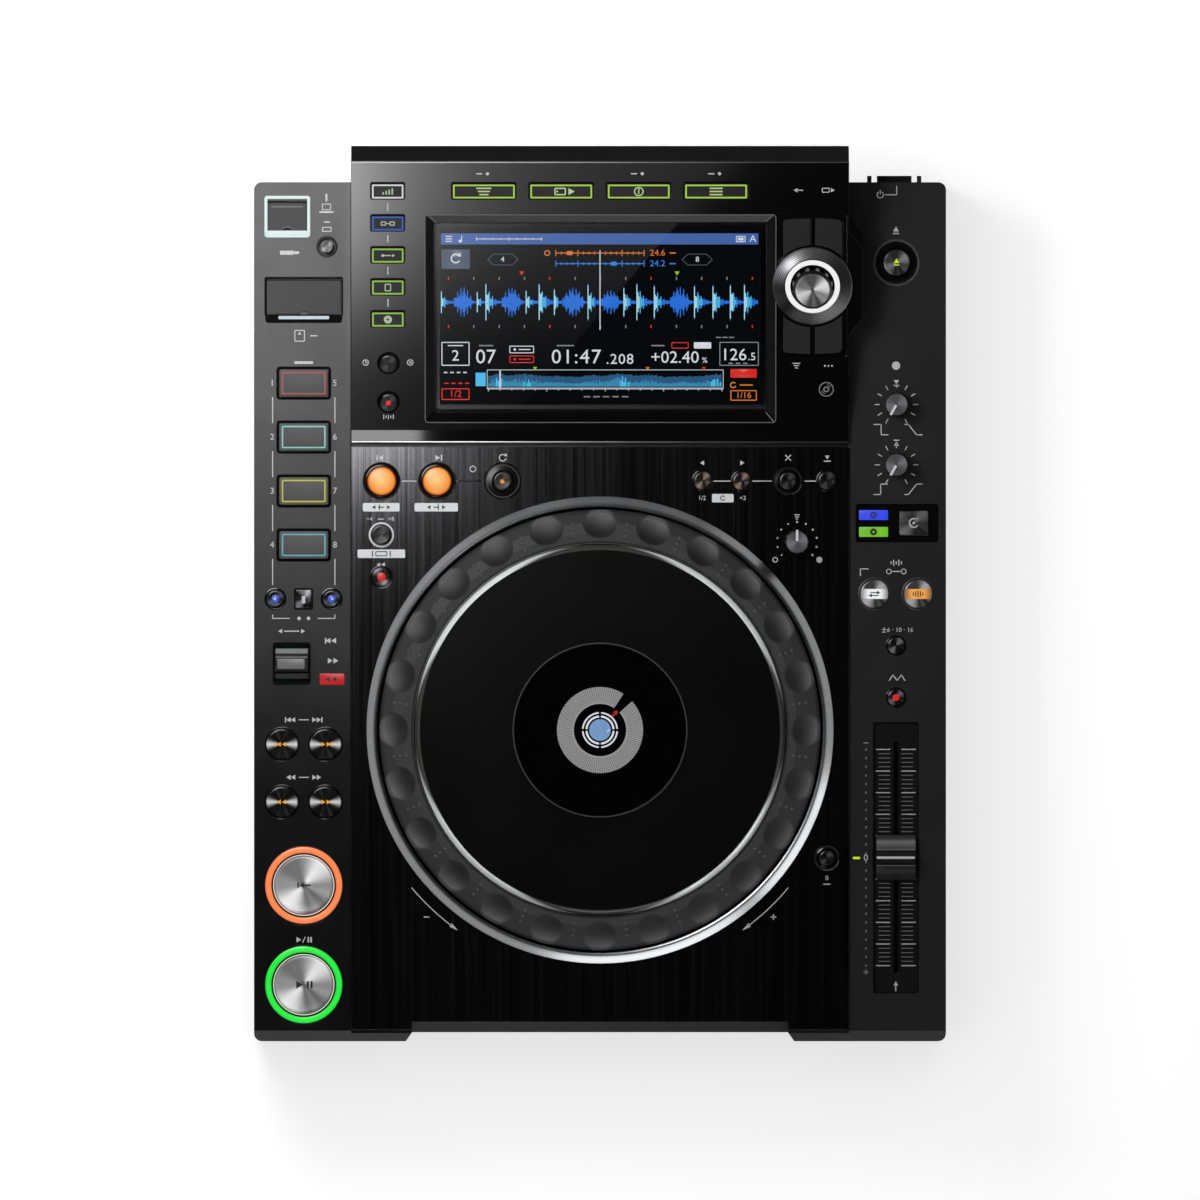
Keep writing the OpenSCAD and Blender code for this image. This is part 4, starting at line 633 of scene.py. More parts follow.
def capShape(bm, x, y, z, r, rise, dish=0.0, depth=4.2, sides=48):  # turned push cap with a chamfered rim
    turned(bm, [(0, -depth), (r, -depth), (r, rise - 0.75), (r - 0.2, rise - 0.3), (r - 0.75, rise),
                (r - 1.1, rise - 0.02), (r * 0.5, rise + 0.06 - dish * 0.8), (0, rise + 0.1 - dish)],
           seat(x, y, z), sides)


def collar(bm, x, y, z, r0, r1, height=1.0, sides=48):  # low rounded ring round a cap
    turned(bm, [(r0, -0.4), (r0, height * 0.6), (r0 + 0.3, height), (r1 - 0.9, height * 0.85),
                (r1 - 0.2, height * 0.3), (r1, -0.4)], seat(x, y, z), sides)


def disced(bm, name, body, material, spots, standsFor=()):
    markDisc(bm, spots)
    return piece(bm, name, body, material, standsFor)


spunSilver = spun("spunSilver", "#5a5a5b", "#ffffff", rough=0.34, metal=0.1, spread=2.2)
spunKnob = spun("spunKnob", "#3e3f41", "#707174", rough=0.4, metal=0.15, spread=1.6, side=0.5)
spunBlack = spun("spunBlack", "#020202", "#f4f4f2", rough=0.16, metal=0.3, spread=15.0, side=0.12)
spunAmber = spun("spunAmber", "#040404", "#4c463e", rough=0.2, metal=0.3, spread=2.2)
spunDark = spun("spunDark", "#020202", "#77787b", rough=0.18, metal=0.2, spread=4.0, side=0.3)
spunBrown = spun("spunBrown", "#0c0503", "#927c70", rough=0.2, metal=0.15, spread=4.5, side=0.3)
spunPod = spun("spunPod", "#020202", "#3c3d40", rough=0.22, metal=0.1, spread=3.0, side=0.4)
spunRed = spun("spunRed", "#040202", "#76686a", rough=0.18, metal=0.15, spread=4.0, side=0.4)
spunBlue = spun("spunBlue", "#020204", "#4a4e5c", rough=0.16, metal=0.2, spread=3.2, side=0.5)
# amber marks: printed ink, given a glow of its own as painted light
amberGlowInk = lit("amberGlowInk", "#f0a428", 0.9)
blackInk = printed("blackInk", "#1a1a1b")


def bigButtons():
    x, r = leftPlan["x"], 13.5
    for name, y, ringColour, turn in (("cue", leftPlan["cueY"], "#f27a45", 48),
                                      ("play", leftPlan["playY"], "#1fd63a", 47)):
        bm = fresh()
        turned(bm, [(0, -6), (r, -6), (r, 2.2), (r - 0.35, 2.75), (r - 1.0, 3.0), (r - 1.5, 2.95),
                    (r - 2.4, 2.62),
                    (r * 0.45, 2.52), (0, 2.5)], seat(x, y, top), 96)
        disced(bm, name + "_face", name + "_button", spunSilver, [(x, y, r, turn)],
               (name + "_button",))
        sheet(name + "_inner_light", "case", "light_ring", lit(name + "InnerLight", "#f6efe8", 0.95),
              seat, top - 0.4, 0.7, (band, x, y, 13.75, 14.15, 0, 360, 96))
        bm = fresh()  # diffuser: full and round at the middle of the ring
        turned(bm, [(14.72, -0.5), (14.74, 0.2), (15.2, 0.62), (16.4, 0.8), (17.5, 0.62), (18.2, 0.1),
                    (18.25, -0.5)],
               seat(x, y, top), 96)
        piece(bm, name + "_ring", "case", ringLight(name + "Glow", ringColour, x, y))
    bm, draw = pen(seat, top + 2.55, 0.06)  # play and pause marks
    y = leftPlan["playY"]
    draw((wedge, x - 2.4, y, 2.1))
    for dx in (1.9, 3.6):
        draw((plate, x + dx, y, (0.95, 3.4)))
    piece(bm, "play_mark", "play_button", blackInk)
    bm, draw = pen(seat, top + 2.55, 0.06)  # cue mark: a stop bar and an arrow back to it
    y = leftPlan["cueY"]
    draw((plate, x - 2.6, y, (0.7, 2.6)), (wedge, x - 0.6, y, 1.5, 180), (plate, x + 1.6, y, (3.0, 0.7)))
    piece(bm, "cue_mark", "cue_button", blackInk)


def ringLight(name, colour, x, y):
    p = Paint(name)  # brightest along the middle of the diffuser, darker towards both edges
    px, py, pz = p.axes()
    dx, dy = px * 1000 - x, py * 1000 - y
    r = (dx * dx + dy * dy).maths("SQRT")
    core = 1.0 - ((r - 16.4).maths("ABSOLUTE") / 1.9).clamped() ** 2
    spots = (dy.maths("ARCTAN2", dx) * 12).maths("SINE") * 0.05
    p.set(Base_Color=shade(colour, 0.3), Roughness=0.3, Emission_Strength=1.0)
    p.set(Emission_Color=p.blend((core + spots).clamped(), shade(colour, 0.42), shade(colour, 1.08)))
    return p.material


def searchButtons():
    x, dx, r = leftPlan["x"], leftPlan["pairDx"], 7.26
    rows = (("track_prev", -1, leftPlan["trackY"], True), ("track_next", 1, leftPlan["trackY"], True),
            ("search_back", -1, leftPlan["searchY"], False), ("search_forward", 1, leftPlan["searchY"], False))
    rings = fresh()
    for name, side, y, bar in rows:
        bm, cx = fresh(), x + side * dx
        capShape(bm, cx, y, top, r, 2.0, 0.2)
        disced(bm, name + "_face", name, spunBlack, [(cx, y, r, 0 if side > 0 else 180)],
               (name,))
        marks, turn = fresh(), 0 if side > 0 else 180
        for k in (-1.0, 1.0):
            wedge(marks, 1.25, seat(cx + k * 1.15 * side, y, top + 1.98, turn), 0.07)
        if bar:
            plate(marks, (0.55, 2.2), seat(cx + side * 2.9, y, top + 1.98), 0.07)
        piece(marks, name + "_mark", name, amberGlowInk)
        collar(rings, cx, y, top, r + 0.25, r + 0.95, 0.25)
    piece(rings, "search_seats", "case", seatGloss)


def hotCues():
    colours = (("#a01e28", "#5a1018"), ("#8fd6cc", "#2f5f5c"), ("#c8c83c", "#6a6a24"), ("#5fb8c0", "#2c3a50"))
    w, h, z = 22.7, 12.8, top + 2.4
    for i, (colour, glow) in enumerate(colours):
        body, x, y = "hot_cue_%d" % (i + 1), leftPlan["x"], leftPlan["padY"] - i * leftPlan["padStep"]
        bm = fresh()
        plate(bm, (w, h), seat(x, y, top - 3.2), 5.6, 1.1, 0.55)
        piece(bm, "pad_%d" % (i + 1), body, padSkin("padSkin%d" % (i + 1), glow, x, y, w, h),
              (body,))
        sheet("pad_line_%d" % (i + 1), body, "pad_rubber",
              lit("padLine%d" % (i + 1), colour, 0.85, unevenness=0.25),
              seat, z - 0.03, 0.09, (frameLine, x, y, (w - 2.5, h - 2.5), 0.62, 0.7))


def padSkin(name, glow, x, y, w, h):
    p = Paint(name)  # soft-touch pad over a lamp: the glow leaks out at its border
    px, py, pz = p.axes()
    edgeX = ((px * 1000 - x).maths("ABSOLUTE") - w / 2 + 2.4).clamped()
    edgeY = ((py * 1000 - y).maths("ABSOLUTE") - h / 2 + 2.4).clamped()
    leak = edgeX.maths("MAXIMUM", edgeY).step(0.2, 2.2)
    skin, dust = p.noise(2200, detail=2.0), p.noise(140, detail=3.0)
    p.set(Base_Color=p.blend(dust, shade("#383636"), shade("#444242")), Roughness=dust * 0.15 + 0.5)
    p.set(Emission_Strength=1.0, Emission_Color=p.blend(leak, (0, 0, 0, 1), shade(glow, 0.5)),
          Normal=p.bump(skin, 0.00003))
    return p.material


def bankRow():
    x, y = leftPlan["x"], leftPlan["bankY"]
    plan = {"capDx": (-13.1, 12.9), "r": 4.2, "squareDx": -0.1}
    squareX = x + plan["squareDx"]
    bm = fresh()
    for dx in plan["capDx"]:
        capShape(bm, x + dx, y, top, plan["r"], 2.0, 0.25)
    disced(bm, "bank_caps", "bank_keys", spunBlue,
           [(x + dx, y, plan["r"], 35) for dx in plan["capDx"]])
    bm = fresh()
    plate(bm, (7.3, 8.4), seat(squareX, y, top - 3.2), 4.55, 0.7, 0.3)
    disced(bm, "bank_square", "bank_keys", spunDark, [(squareX, y, 4.2, 50)], ("bank_keys",))
    bm = fresh()
    for dx in plan["capDx"]:
        collar(bm, x + dx, y, top, 4.4, 5.3, 0.4)
    frameLine(bm, (9.0, 10.1), 0.8, seat(squareX, y, flat), 0.2, 1.0)
    piece(bm, "bank_seats", "case", seatGloss)
    bm = fresh()
    for side in (-1, 1):
        disc(bm, 1.75, seat(squareX + side * 13.0, y, top + 1.88), 0.08, 28, 0.05)
    piece(bm, "bank_lamps", "bank_keys", lit("bankBlue", "#2452e8", 0.95, unevenness=0.4))
    sheet("bank_marks", "bank_keys", "key_black", inkWhite, seat, top + 1.95, 0.07,
          (wedge, x - 13.3, y, 1.0, 180), (wedge, x + 13.1, y, 1.0))
    sheet("bank_mark", "bank_keys", "key_black", inkWhite, seat, top + 1.33, 0.06,
          (plate, squareX, y - 0.4, (1.6, 3.4), 0.2))


def directionLever():
    x, y = leftPlan["leverX"], leftPlan["leverY"]
    lightX, lightY = -123.9, -39.4
    # dark frame in the lever's recess: painted shade
    sheet("lever_recess_shade", "case", "case_plastic", seatBlack, seat, flat, 0.25,
          (frameLine, x, y, (17.6, 19.6), 1.0, 1.4))
    # painted highlights: a lighter patch on the paddle, and a light line along the edge over it
    sheet("lever_highlight", "direction_lever", "door_plastic",
          moulded("leverGrey", "#5e6062", 0.35, 0.00001, 0.0, 0.5),
          seat, top + 2.76, 0.14, (plate, x - 0.3, y - 0.15, (12.6, 4.6), 0.5, 0.05))
    sheet("lever_line", "direction_lever", "door_plastic", printed("leverEdge", "#5a5c5e", 0.3),
          seat, top + 2.7, 0.08, (plate, x, y + 3.0, (14.6, 0.9), 0.3))
    sheet("reverse_light", "case", "light_ring", lit("reverseRed", "#c8141c", 0.8, base="#300505"),
          seat, flat, 0.3, (plate, lightX, lightY, (11.4, 5.2), 0.5, 0.15))
    bm = fresh()
    for dx in (-1.9, 1.3):
        wedge(bm, 1.35, seat(lightX + dx, lightY, flat + 0.28, 180), 0.06)
    piece(bm, "reverse_mark", "case", blackInk)


def usbStop():
    x, y = leftPlan["usbStop"]
    bm = fresh()
    collar(bm, x, y, top, 3.8, 5.1, 0.8)
    piece(bm, "stop_seat", "case", ringGrey)
    bm = fresh()
    capShape(bm, x, y, top, 3.45, 2.05, 0.2)
    disced(bm, "stop_cap", "small_keys", spunDark, [(x, y, 3.5, 40)])


bigButtons()
searchButtons()
hotCues()
bankRow()
directionLever()
usbStop()
print("left column")


deckTop = case["deckZ"]
deckPrint = deckTop - 0.01
deckPlan = {"rowY": 52.2, "adjust": (91.1, 24.0), "bend": (80.2, -149.4)}
jog = {"x": 0.0, "y": -62.9, "topZ": 95.0, "displayZ": 94.6}


def deckRow():
    rowY = deckPlan["rowY"]
    rows = (("loop_in", -101.0, rowY), ("loop_out", -75.4, rowY))
    seats, ringed = fresh(), fresh()
    for name, x, y in rows:  # lit domes
        bm = fresh()
        turned(bm, [(0, -4.2), (6.5, -4.2), (6.5, 1.1), (6.35, 1.45), (5.6, 1.85), (3.6, 2.15), (0, 2.24)],
               seat(x, y, deckTop), 48)
        piece(bm, name + "_dome", name, dome(name + "Glow", x, y), (name,))
        collar(seats, x, y, deckTop, 6.8, 8.9, 1.3)
    wide = fresh()
    for x, y, r0, r1 in ((-45.0, rowY, 4.75, 8.7), (87.0, rowY, 4.5, 7.1), (104.9, -122.2, 4.0, 6.2)):
        collar(seats, x, y, deckTop, r0, r1, 1.3)
        band(wide, r1 - 1.5, r1 - 1.0, seat(x, y, deckTop + 1.02), 0.12, steps=48)
    piece(wide, "seat_lines", "case", ringGrey)
    for x, y, r in ((-101.1, 7.7, 4.6), (47.5, 52.4, 4.2), (65.5, rowY, 4.2), (105.1, 52.4, 4.3)):
        collar(seats, x, y, deckTop, r + 0.25, r + 1.0, 0.35)
    piece(seats, "deck_seats", "case", seatGloss)
    collar(ringed, -101.1, 27.3, deckTop, 5.0, 6.0, 0.5)
    piece(ringed, "beat_ring", "case", pillWhite)
    rest = (("reloop", -45.0, rowY, 4.4, spunAmber, 60), ("beat_loop", -101.1, 27.3, 4.8, spunPod, 60),
            ("slip", -101.1, 7.7, 4.6, spunRed, 125), ("tempo_reset", 104.9, -122.2, 3.7, spunPod, 45))
    for name, x, y, r, finish, turn in rest:
        bm = fresh()
        capShape(bm, x, y, deckTop, r - 0.03, 2.0, 0.25)
        disced(bm, name + "_cap", name, finish, [(x, y, r, turn)], (name,))
    spots = [(47.5, 52.4, 4.2, 55), (65.5, rowY, 4.2, 235), (87.0, rowY, 4.2, 60), (105.1, 52.4, 4.3, 60)]
    for name, finish, own, stands in (("call_caps", spunBrown, spots[:2], ()),
                                      ("memory_caps", spunPod, spots[2:], ("deck_keys",))):
        bm = fresh()
        for x, y, r, turn in own:
            capShape(bm, x, y, deckTop, r - 0.03, 2.0, 0.25)
        disced(bm, name, "deck_keys", finish, own, stands)
    sheet("reloop_lamp", "reloop", "key_black", lit("reloopAmber", "#e08a2c", 0.9),
          seat, deckTop + 1.98, 0.08, (disc, -45.2, 52.0, 1.0, 20))
    sheet("slip_lamp", "slip", "key_black", lit("slipRed", "#e01820", 0.95, unevenness=0.5),
          seat, deckTop + 1.88, 0.1, (disc, -101.0, 7.8, 2.0, 24, 0.04))


def dome(name, x, y):
    p = Paint(name)  # lamp under a satin orange dome, hottest at its middle
    px, py, pz = p.axes()
    dx, dy = (px * 1000 - x) / 6.5, (py * 1000 - y) / 6.5
    r = (dx * dx + dy * dy).maths("SQRT")
    hot = ((1.0 - r * 0.95).clamped() + (dy + 0.2).clamped() * 0.25).clamped()
    rim = r.step(0.86, 1.0)
    warm = p.blend(hot, shade("#e8822c"), shade("#ffc470"))
    p.set(Base_Color=shade("#50240a"), Roughness=0.3, Emission_Strength=0.95)
    p.set(Emission_Color=p.blend(rim, warm, shade("#a85012")))
    return p.material


def deckPrints():
    (adjustX, adjustY), (bendX, bendY), dialR = deckPlan["adjust"], deckPlan["bend"], 9.3
    pills = fresh()
    for x, y, w in ((-101.2, 40.1, 17.0), (-75.7, 40.1, 20.0), (-101.1, 18.6, 22.0), (56.8, 44.3, 10.0)):
        plate(pills, (w, 3.9), seat(x, y, deckPrint), 0.08, 0.6)
    piece(pills, "deck_pills", "case", pillWhite)
    z = deckPrint + 0.07
    bm = fresh()
    for x, y, side in ((-101.2, 40.1, -1), (-75.7, 40.1, 1)):  # fine adjustment of the loop's ends
        wedge(bm, 1.1, seat(x - 3.2, y, z, 180), 0.06)
        wedge(bm, 1.1, seat(x + 3.2, y, z), 0.06)
        plate(bm, (0.5, 2.6), seat(x + side * 0.9, y, z), 0.06)
        plate(bm, (2.6, 0.5), seat(x, y, z), 0.06)
    frameLine(bm, (5.6, 2.4), 0.45, seat(-101.1, 18.6, z), 0.06, 0.6)
    plate(bm, (0.5, 2.9), seat(-105.2, 18.6, z), 0.06)
    plate(bm, (0.5, 2.9), seat(-97.0, 18.6, z), 0.06)
    band(bm, 0.8, 1.25, seat(56.8, 44.3, z), 0.06, 30, 300, 20)
    piece(bm, "deck_pill_marks", "case", inkDark)
    z = deckPrint
    bm, draw = pen(seat, z, 0.07)
    for a, b in ((-91.6, -84.8), (-65.8, -54.2), (-66.2, -54.0), (52.4, 60.8), (70.4, 79.4), (94.6, 100.2)):
        draw((plate, (a + b) / 2, deckPlan["rowY"], (b - a, 0.45)))
    for x, turn in ((-101.0, 180), (-75.4, 0)):  # loop in and out
        draw((wedge, x, 63.0, 1.5, turn), (plate, x + (-2.1 if turn else 2.1), 63.0, (0.55, 2.7)))
    draw((band, -45.0, 63.0, 1.3, 1.75, 60, 290, 24), (wedge, -43.6, 64.2, 1.0, -40),
         (band, -58.8, 57.8, 1.1, 1.5, 0, 360, 24), (wedge, 47.5, 60.6, 1.3, 180), (wedge, 65.5, 60.6, 1.3),
         (digits, 47.2, 44.3, "1/2", 2.1), (digits, 66.0, 44.3, "×2", 2.1))
    line(bm, (85.8, 61.8), (88.2, 64.2), 0.5, seat(0, 0, z), 0.07)
    line(bm, (85.8, 64.2), (88.2, 61.8), 0.5, seat(0, 0, z), 0.07)
    draw((wedge, 105.1, 63.4, 1.2, -90), (plate, 105.1, 61.4, (3.2, 0.5)), (digits, -106.6, 34.6, "÷4", 2.0),
         (digits, -96.6, 34.6, "×8", 2.0), (plate, -101.4, 34.6, (2.6, 0.45)),
         (wedge, -102.2, 13.6, 1.1, 180), (wedge, -100.0, 13.6, 1.1, 180))
    for i in range(3):
        draw((plate, adjustX, 36.6 - i * 1.0, (2.4 - i * 0.7, 0.45)))
    for i in range(11):  # jog adjust: lighter to the left, heavier to the right
        a = math.radians(-130 + 26 * i)
        draw((disc, adjustX + dialR * math.sin(a), adjustY + dialR * math.cos(a), 0.33 + 0.025 * i, 14))
    draw((band, 81.0, 15.8, 0.9, 1.3, 0, 360, 18), (disc, 101.4, 15.8, 1.4, 20),
         (digits, 104.9, -131.4, "0", 2.2), (plate, 104.9, -134.2, (3.4, 0.45)))
    for side in (-1, 1):  # pitch bend arrows round the wheel's foot
        r0, y0 = 113.6, jog["y"]
        start, sweep = (219.9, 13.0) if side < 0 else (307.1, 13.0)
        draw((band, 0, y0, r0 - 0.2, r0 + 0.2, start, sweep, 20))
        a = math.radians(233.2 if side < 0 else 306.8)
        tip = (r0 * math.cos(a), y0 + r0 * math.sin(a))
        wedge(bm, 1.1, seat(tip[0], tip[1], z, math.degrees(a) + (90 if side < 0 else -90)), 0.07, stretch=2.6)
        draw((plate, side * bendX, bendY, (2.6, 0.5)))
        if side > 0:
            draw((plate, bendX, bendY, (0.5, 2.6)))
    piece(bm, "prints_deck", "case", inkWhite)


def jogAdjust(name, x, y, z, turn, bodyName):
    bm = fresh()  # pointer along the knob's top, and a turned metal lid
    plate(bm, (1.15, 5.2), seat(x, y, z + 11.45, turn) @ seat(0, 3.0, 0), 0.14, 0.3)
    piece(bm, name + "_pointer", bodyName, pillWhite)
    bm = fresh()
    disc(bm, 4.9, seat(x, y, z + 11.0), 0.09, 40)
    disced(bm, name + "_lid", bodyName, spunKnob, [(x, y, 4.9, 20)])


def jogWheel():
    x, y, z = jog["x"], jog["y"], jog["topZ"]
    # thin light ring at the grip's inner edge: a painted highlight on that edge
    bm = fresh()
    turned(bm, [(86.0, z - 0.95), (86.15, z - 0.6), (86.55, z - 0.6), (86.7, z - 0.95)], seat(x, y), 160)
    piece(bm, "wheel_edge_highlight", "jog", polished("lineGrey", "#6a6b6d", rough=0.3))
    bm = fresh()
    turned(bm, [(83.2, z - 0.02), (83.25, z + 0.06), (83.75, z + 0.06), (85.66, z - 1.55), (85.68, z - 1.7)],
           seat(x, y), 160)
    piece(bm, "plate_bevel", "jog", bevelPaintedHighlight())
    bm = fresh()  # three raised dots in each gap between the finger dimples
    for i in range(24):
        a = math.radians(97.5 + 15 * i)
        for r, lift in ((90.2, 0.35), (93.0, 0.2), (95.8, 0.0)):
            bmesh.ops.create_uvsphere(bm, u_segments=10, v_segments=6, radius=0.85, matrix=Matrix.Translation(
                (x + r * math.cos(a), y + r * math.sin(a), gripHeight(r) - 0.25)))
    piece(bm, "grip_dots", "jog", rubber("dotRubber", "#454546", 0.5))


def gripHeight(r):  # the grip ring falls from its crest to its outer lip
    return 95.2 + (r - 91.0) / 5.0 * -1.6 if r > 91.0 else 95.1


def displayFace():
    x, y, z = jog["x"], jog["y"], jog["displayZ"] + 0.005
    bm, draw = pen(seat, z, 0.07)
    for i in range(115):  # ring of fine radial marks, open on its upper right
        draw((band, x, y, 12.1, 19.9, 57.3 + 3.0 * i, 2.45, 1))
    draw((band, x, y, 12.1, 13.0, 57.3, 344.4, 64))
    piece(bm, "display_ring", "case", lit("displayGrey", "#989899", 0.9, unevenness=0.1))
    bm, draw = pen(seat, z, 0.07)
    for i in range(4):
        draw((band, x, y, 7.6, 8.3, 90 * i + 4, 82, 16), (band, x, y, 5.8, 6.7, 90 * i + 4, 82, 16))
    line(bm, (x + 3.4, y - 0.8), (x + 4.2, y + 0.2), 0.4, seat(0, 0, z), 0.09)
    piece(bm, "display_circles", "case", lit("displayWhite", "#e8ecf2", 0.92))
    sheet("display_centre", "case", "jog_display", lit("displayBlue", "#7ea6d8", 0.85, unevenness=0.2),
          seat, z, 0.07, (disc, x, y, 5.0, 40))
    bm = fresh()
    a = math.radians(48)
    disc(bm, 1.05, seat(x + 10.6 * math.cos(a), y + 10.6 * math.sin(a), z), 0.08, 20)
    plate(bm, (3.6, 1.1), seat(x + 10.2 * math.cos(a), y + 10.2 * math.sin(a), z, 48), 0.07, 0.4)
    piece(bm, "display_mark", "case", lit("displayRed", "#8c141c", 1.0))
    # the window's thin edge
    sheet("display_edge", "jog", "jog_top", printed("edgeGrey", "#2c2d2f"), seat, jog["topZ"] - 0.01, 0.08,
          (band, x, y, 39.9, 40.4, 0, 360, 120))


deckRow()
deckPrints()
jogWheel()
displayFace()
jogAdjust("jog_adjust", *deckPlan["adjust"], deckTop, 0, "jog_adjust_knob")
print("deck and jog wheel")


rightPlan = {"eject": (137.1, 153.2), "touch": (137.1, 87.6), "release": (137.1, 59.7),
             "mode": (137.4, 32.8), "sync": (126.9, 0.0), "master": (147.1, 0.0), "range": (136.9, -23.9),
             "masterTempo": (136.9, -47.9), "fader": (136.8, -121.9)}


def standbyAndEject():
    x, y = rightPlan["eject"]
    bm = fresh()
    collar(bm, x, y, top, 6.55, 9.7, 1.6, 64)
    piece(bm, "eject_collar", "case", seatGloss)
    bm = fresh()
    turned(bm, [(9.75, 0.0), (9.8, 0.5), (10.2, 0.75), (10.7, 0.5), (10.9, 0.0)], seat(x, y, top), 64)
    piece(bm, "eject_ring", "case", polished("ejectRing", "#4a4b4d", rough=0.3, metal=0.1))
    bm = fresh()
    capShape(bm, x, y, top, 6.15, 2.0, 0.3)
    disced(bm, "eject_cap", "eject_button",
           spun("spunEject", "#101011", "#a4a5a8", rough=0.25, spread=2.6),
           [(x, y, 6.2, 30)], ("eject_button",))
    sheet("eject_mark", "eject_button", "key_black", lit("ejectLime", "#c8e018", 0.95),
          seat, top + 1.96, 0.07, (wedge, x, y + 0.5, 1.5, 90), (plate, x, y - 1.1, (2.5, 0.5)))


def jogModeKey():
    x, y = rightPlan["mode"]
    lightX, keyX = 126.5, 145.1
    bm = fresh()  # recessed black field with its edge line
    plate(bm, (38.0, 17.4), seat(x, y, top - 0.78), 0.06, 1.2)
    frameLine(bm, (38.3, 17.7), 0.5, seat(x, y, flat), 0.12, 1.3)
    piece(bm, "mode_field", "case", seatGloss)
    for name, dy, colour in (("blue", 3.7, "#3a50ff"), ("green", -4.1, "#7ed030")):
        sheet("mode_light_" + name, "case", "light_ring",
              lit("mode" + name.title(), colour, 0.9, unevenness=0.3),
              seat, top - 0.74, 0.5, (plate, lightX, y + dy, (13.4, 4.6), 0.5, 0.12))
    bm = fresh()  # record and disc marks on the two lights, disc mark on the key
    z = top - 0.22
    band(bm, 0.9, 1.5, seat(lightX, y + 3.7, z), 0.06, steps=24)
    disc(bm, 0.4, seat(lightX, y + 3.7, z), 0.06, 14)
    band(bm, 0.55, 1.6, seat(lightX, y - 4.1, z), 0.06, steps=24)
    piece(bm, "mode_marks", "case", blackInk)
    bm = fresh()
    plate(bm, (13.2, 11.2), seat(keyX, y, top + 0.4), 0.86, 0.8, 0.35)
    disced(bm, "mode_key_face", "jog_mode", spun("spunMode", "#1c1d1e", "#77787a", 0.3, 0.5, 2.4),
           [(keyX, y, 6.0, 45)])
    sheet("mode_key_mark", "jog_mode", "key_black", inkWhite, seat, top + 1.24, 0.07,
          (band, keyX, y, 1.7, 2.3, 30, 300, 30), (wedge, 146.6, y + 1.6, 1.0, -50), (disc, keyX, y, 0.6, 16))


def syncAndMaster():
    for name, finish, glow in (("sync", "spunWhiteBand", "#f2f4f6"), ("master", "spunOrangeBand", "#f0a040")):
        x, y = rightPlan[name]
        bm = fresh()
        capShape(bm, x, y, top, 6.65, 2.0, 0.2, sides=64)
        disced(bm, name + "_cap", name, spun(finish, "#141415", "#dcdddf", 0.25, 0.5, 2.6),
               [(x, y, 6.7, 45)], (name,))
        bm = fresh()  # lit band across the cap
        before = set(bm.verts)
        bmesh.ops.create_circle(bm, cap_ends=True, segments=64, radius=6.3)
        for side in (1, -1):
            bmesh.ops.bisect_plane(bm, geom=bm.verts[:] + bm.edges[:] + bm.faces[:],
                                   plane_co=(0, side * 2.3, 0),
                                   plane_no=(0, side, 0), clear_outer=True)
        raised(bm, bm.faces[:], 0.1)
        moved(bm, [v for v in bm.verts if v not in before], seat(x, y, top + 1.93))
        piece(bm, name + "_band", name, bandLight(name + "Band", glow, x, y))
        bm = fresh()
        collar(bm, x, y, top, 6.9, 7.8, 0.3)
        piece(bm, name + "_seat", "case", ringGrey)
        bm, draw = pen(seat, top + 2.01, 0.07)  # two arrows for sync, a crown of bars for master
        if name == "sync":
            draw((wedge, x + 1.7, y + 0.6, 1.0), (plate, x - 0.2, y + 0.6, (3.4, 0.45)),
                 (wedge, x - 1.7, y - 0.7, 1.0, 180), (plate, x + 0.2, y - 0.7, (3.4, 0.45)))
        else:
            for i, high in enumerate((1.4, 2.4, 3.0, 2.4, 1.4)):
                draw((plate, x - 2.2 + 1.1 * i, y, (0.5, high)))
        piece(bm, name + "_mark", name, blackInk)


def bandLight(name, colour, x, y):
    p = Paint(name)  # glow fading towards both ends of the band
    px, py, pz = p.axes()
    dx = ((px * 1000 - x) / 6.5).maths("ABSOLUTE")
    p.set(Base_Color=shade("#3a3a3a"), Roughness=0.3, Emission_Strength=0.9)
    p.set(Emission_Color=p.blend(dx.step(0.35, 1.0), shade(colour), shade(colour, 0.25)))
    return p.material


def tempoButtons():
    spots = [rightPlan["range"] + (4.0, 50), rightPlan["masterTempo"] + (4.0, 40)]
    seats = fresh()
    for (x, y, r, turn), finish, name in zip(spots, (spunDark, spunRed), ("range_cap", "tempo_cap")):
        bm = fresh()
        capShape(bm, x, y, top, 3.95, 2.0, 0.2)
        stands = ("small_keys",) if name == "tempo_cap" else ()
        disced(bm, name, "small_keys", finish, [(x, y, r, turn)], stands)
        collar(seats, x, y, top, 4.2, 4.9, 0.35)
    piece(seats, "tempo_seats", "case", seatGloss)
    bm = fresh()
    x, y = rightPlan["masterTempo"]
    disc(bm, 1.5, seat(x, y, top + 1.9), 0.09, 24, 0.04)
    piece(bm, "tempo_lamp", "small_keys", lit("tempoRed", "#e8141c", 0.95, unevenness=0.3))


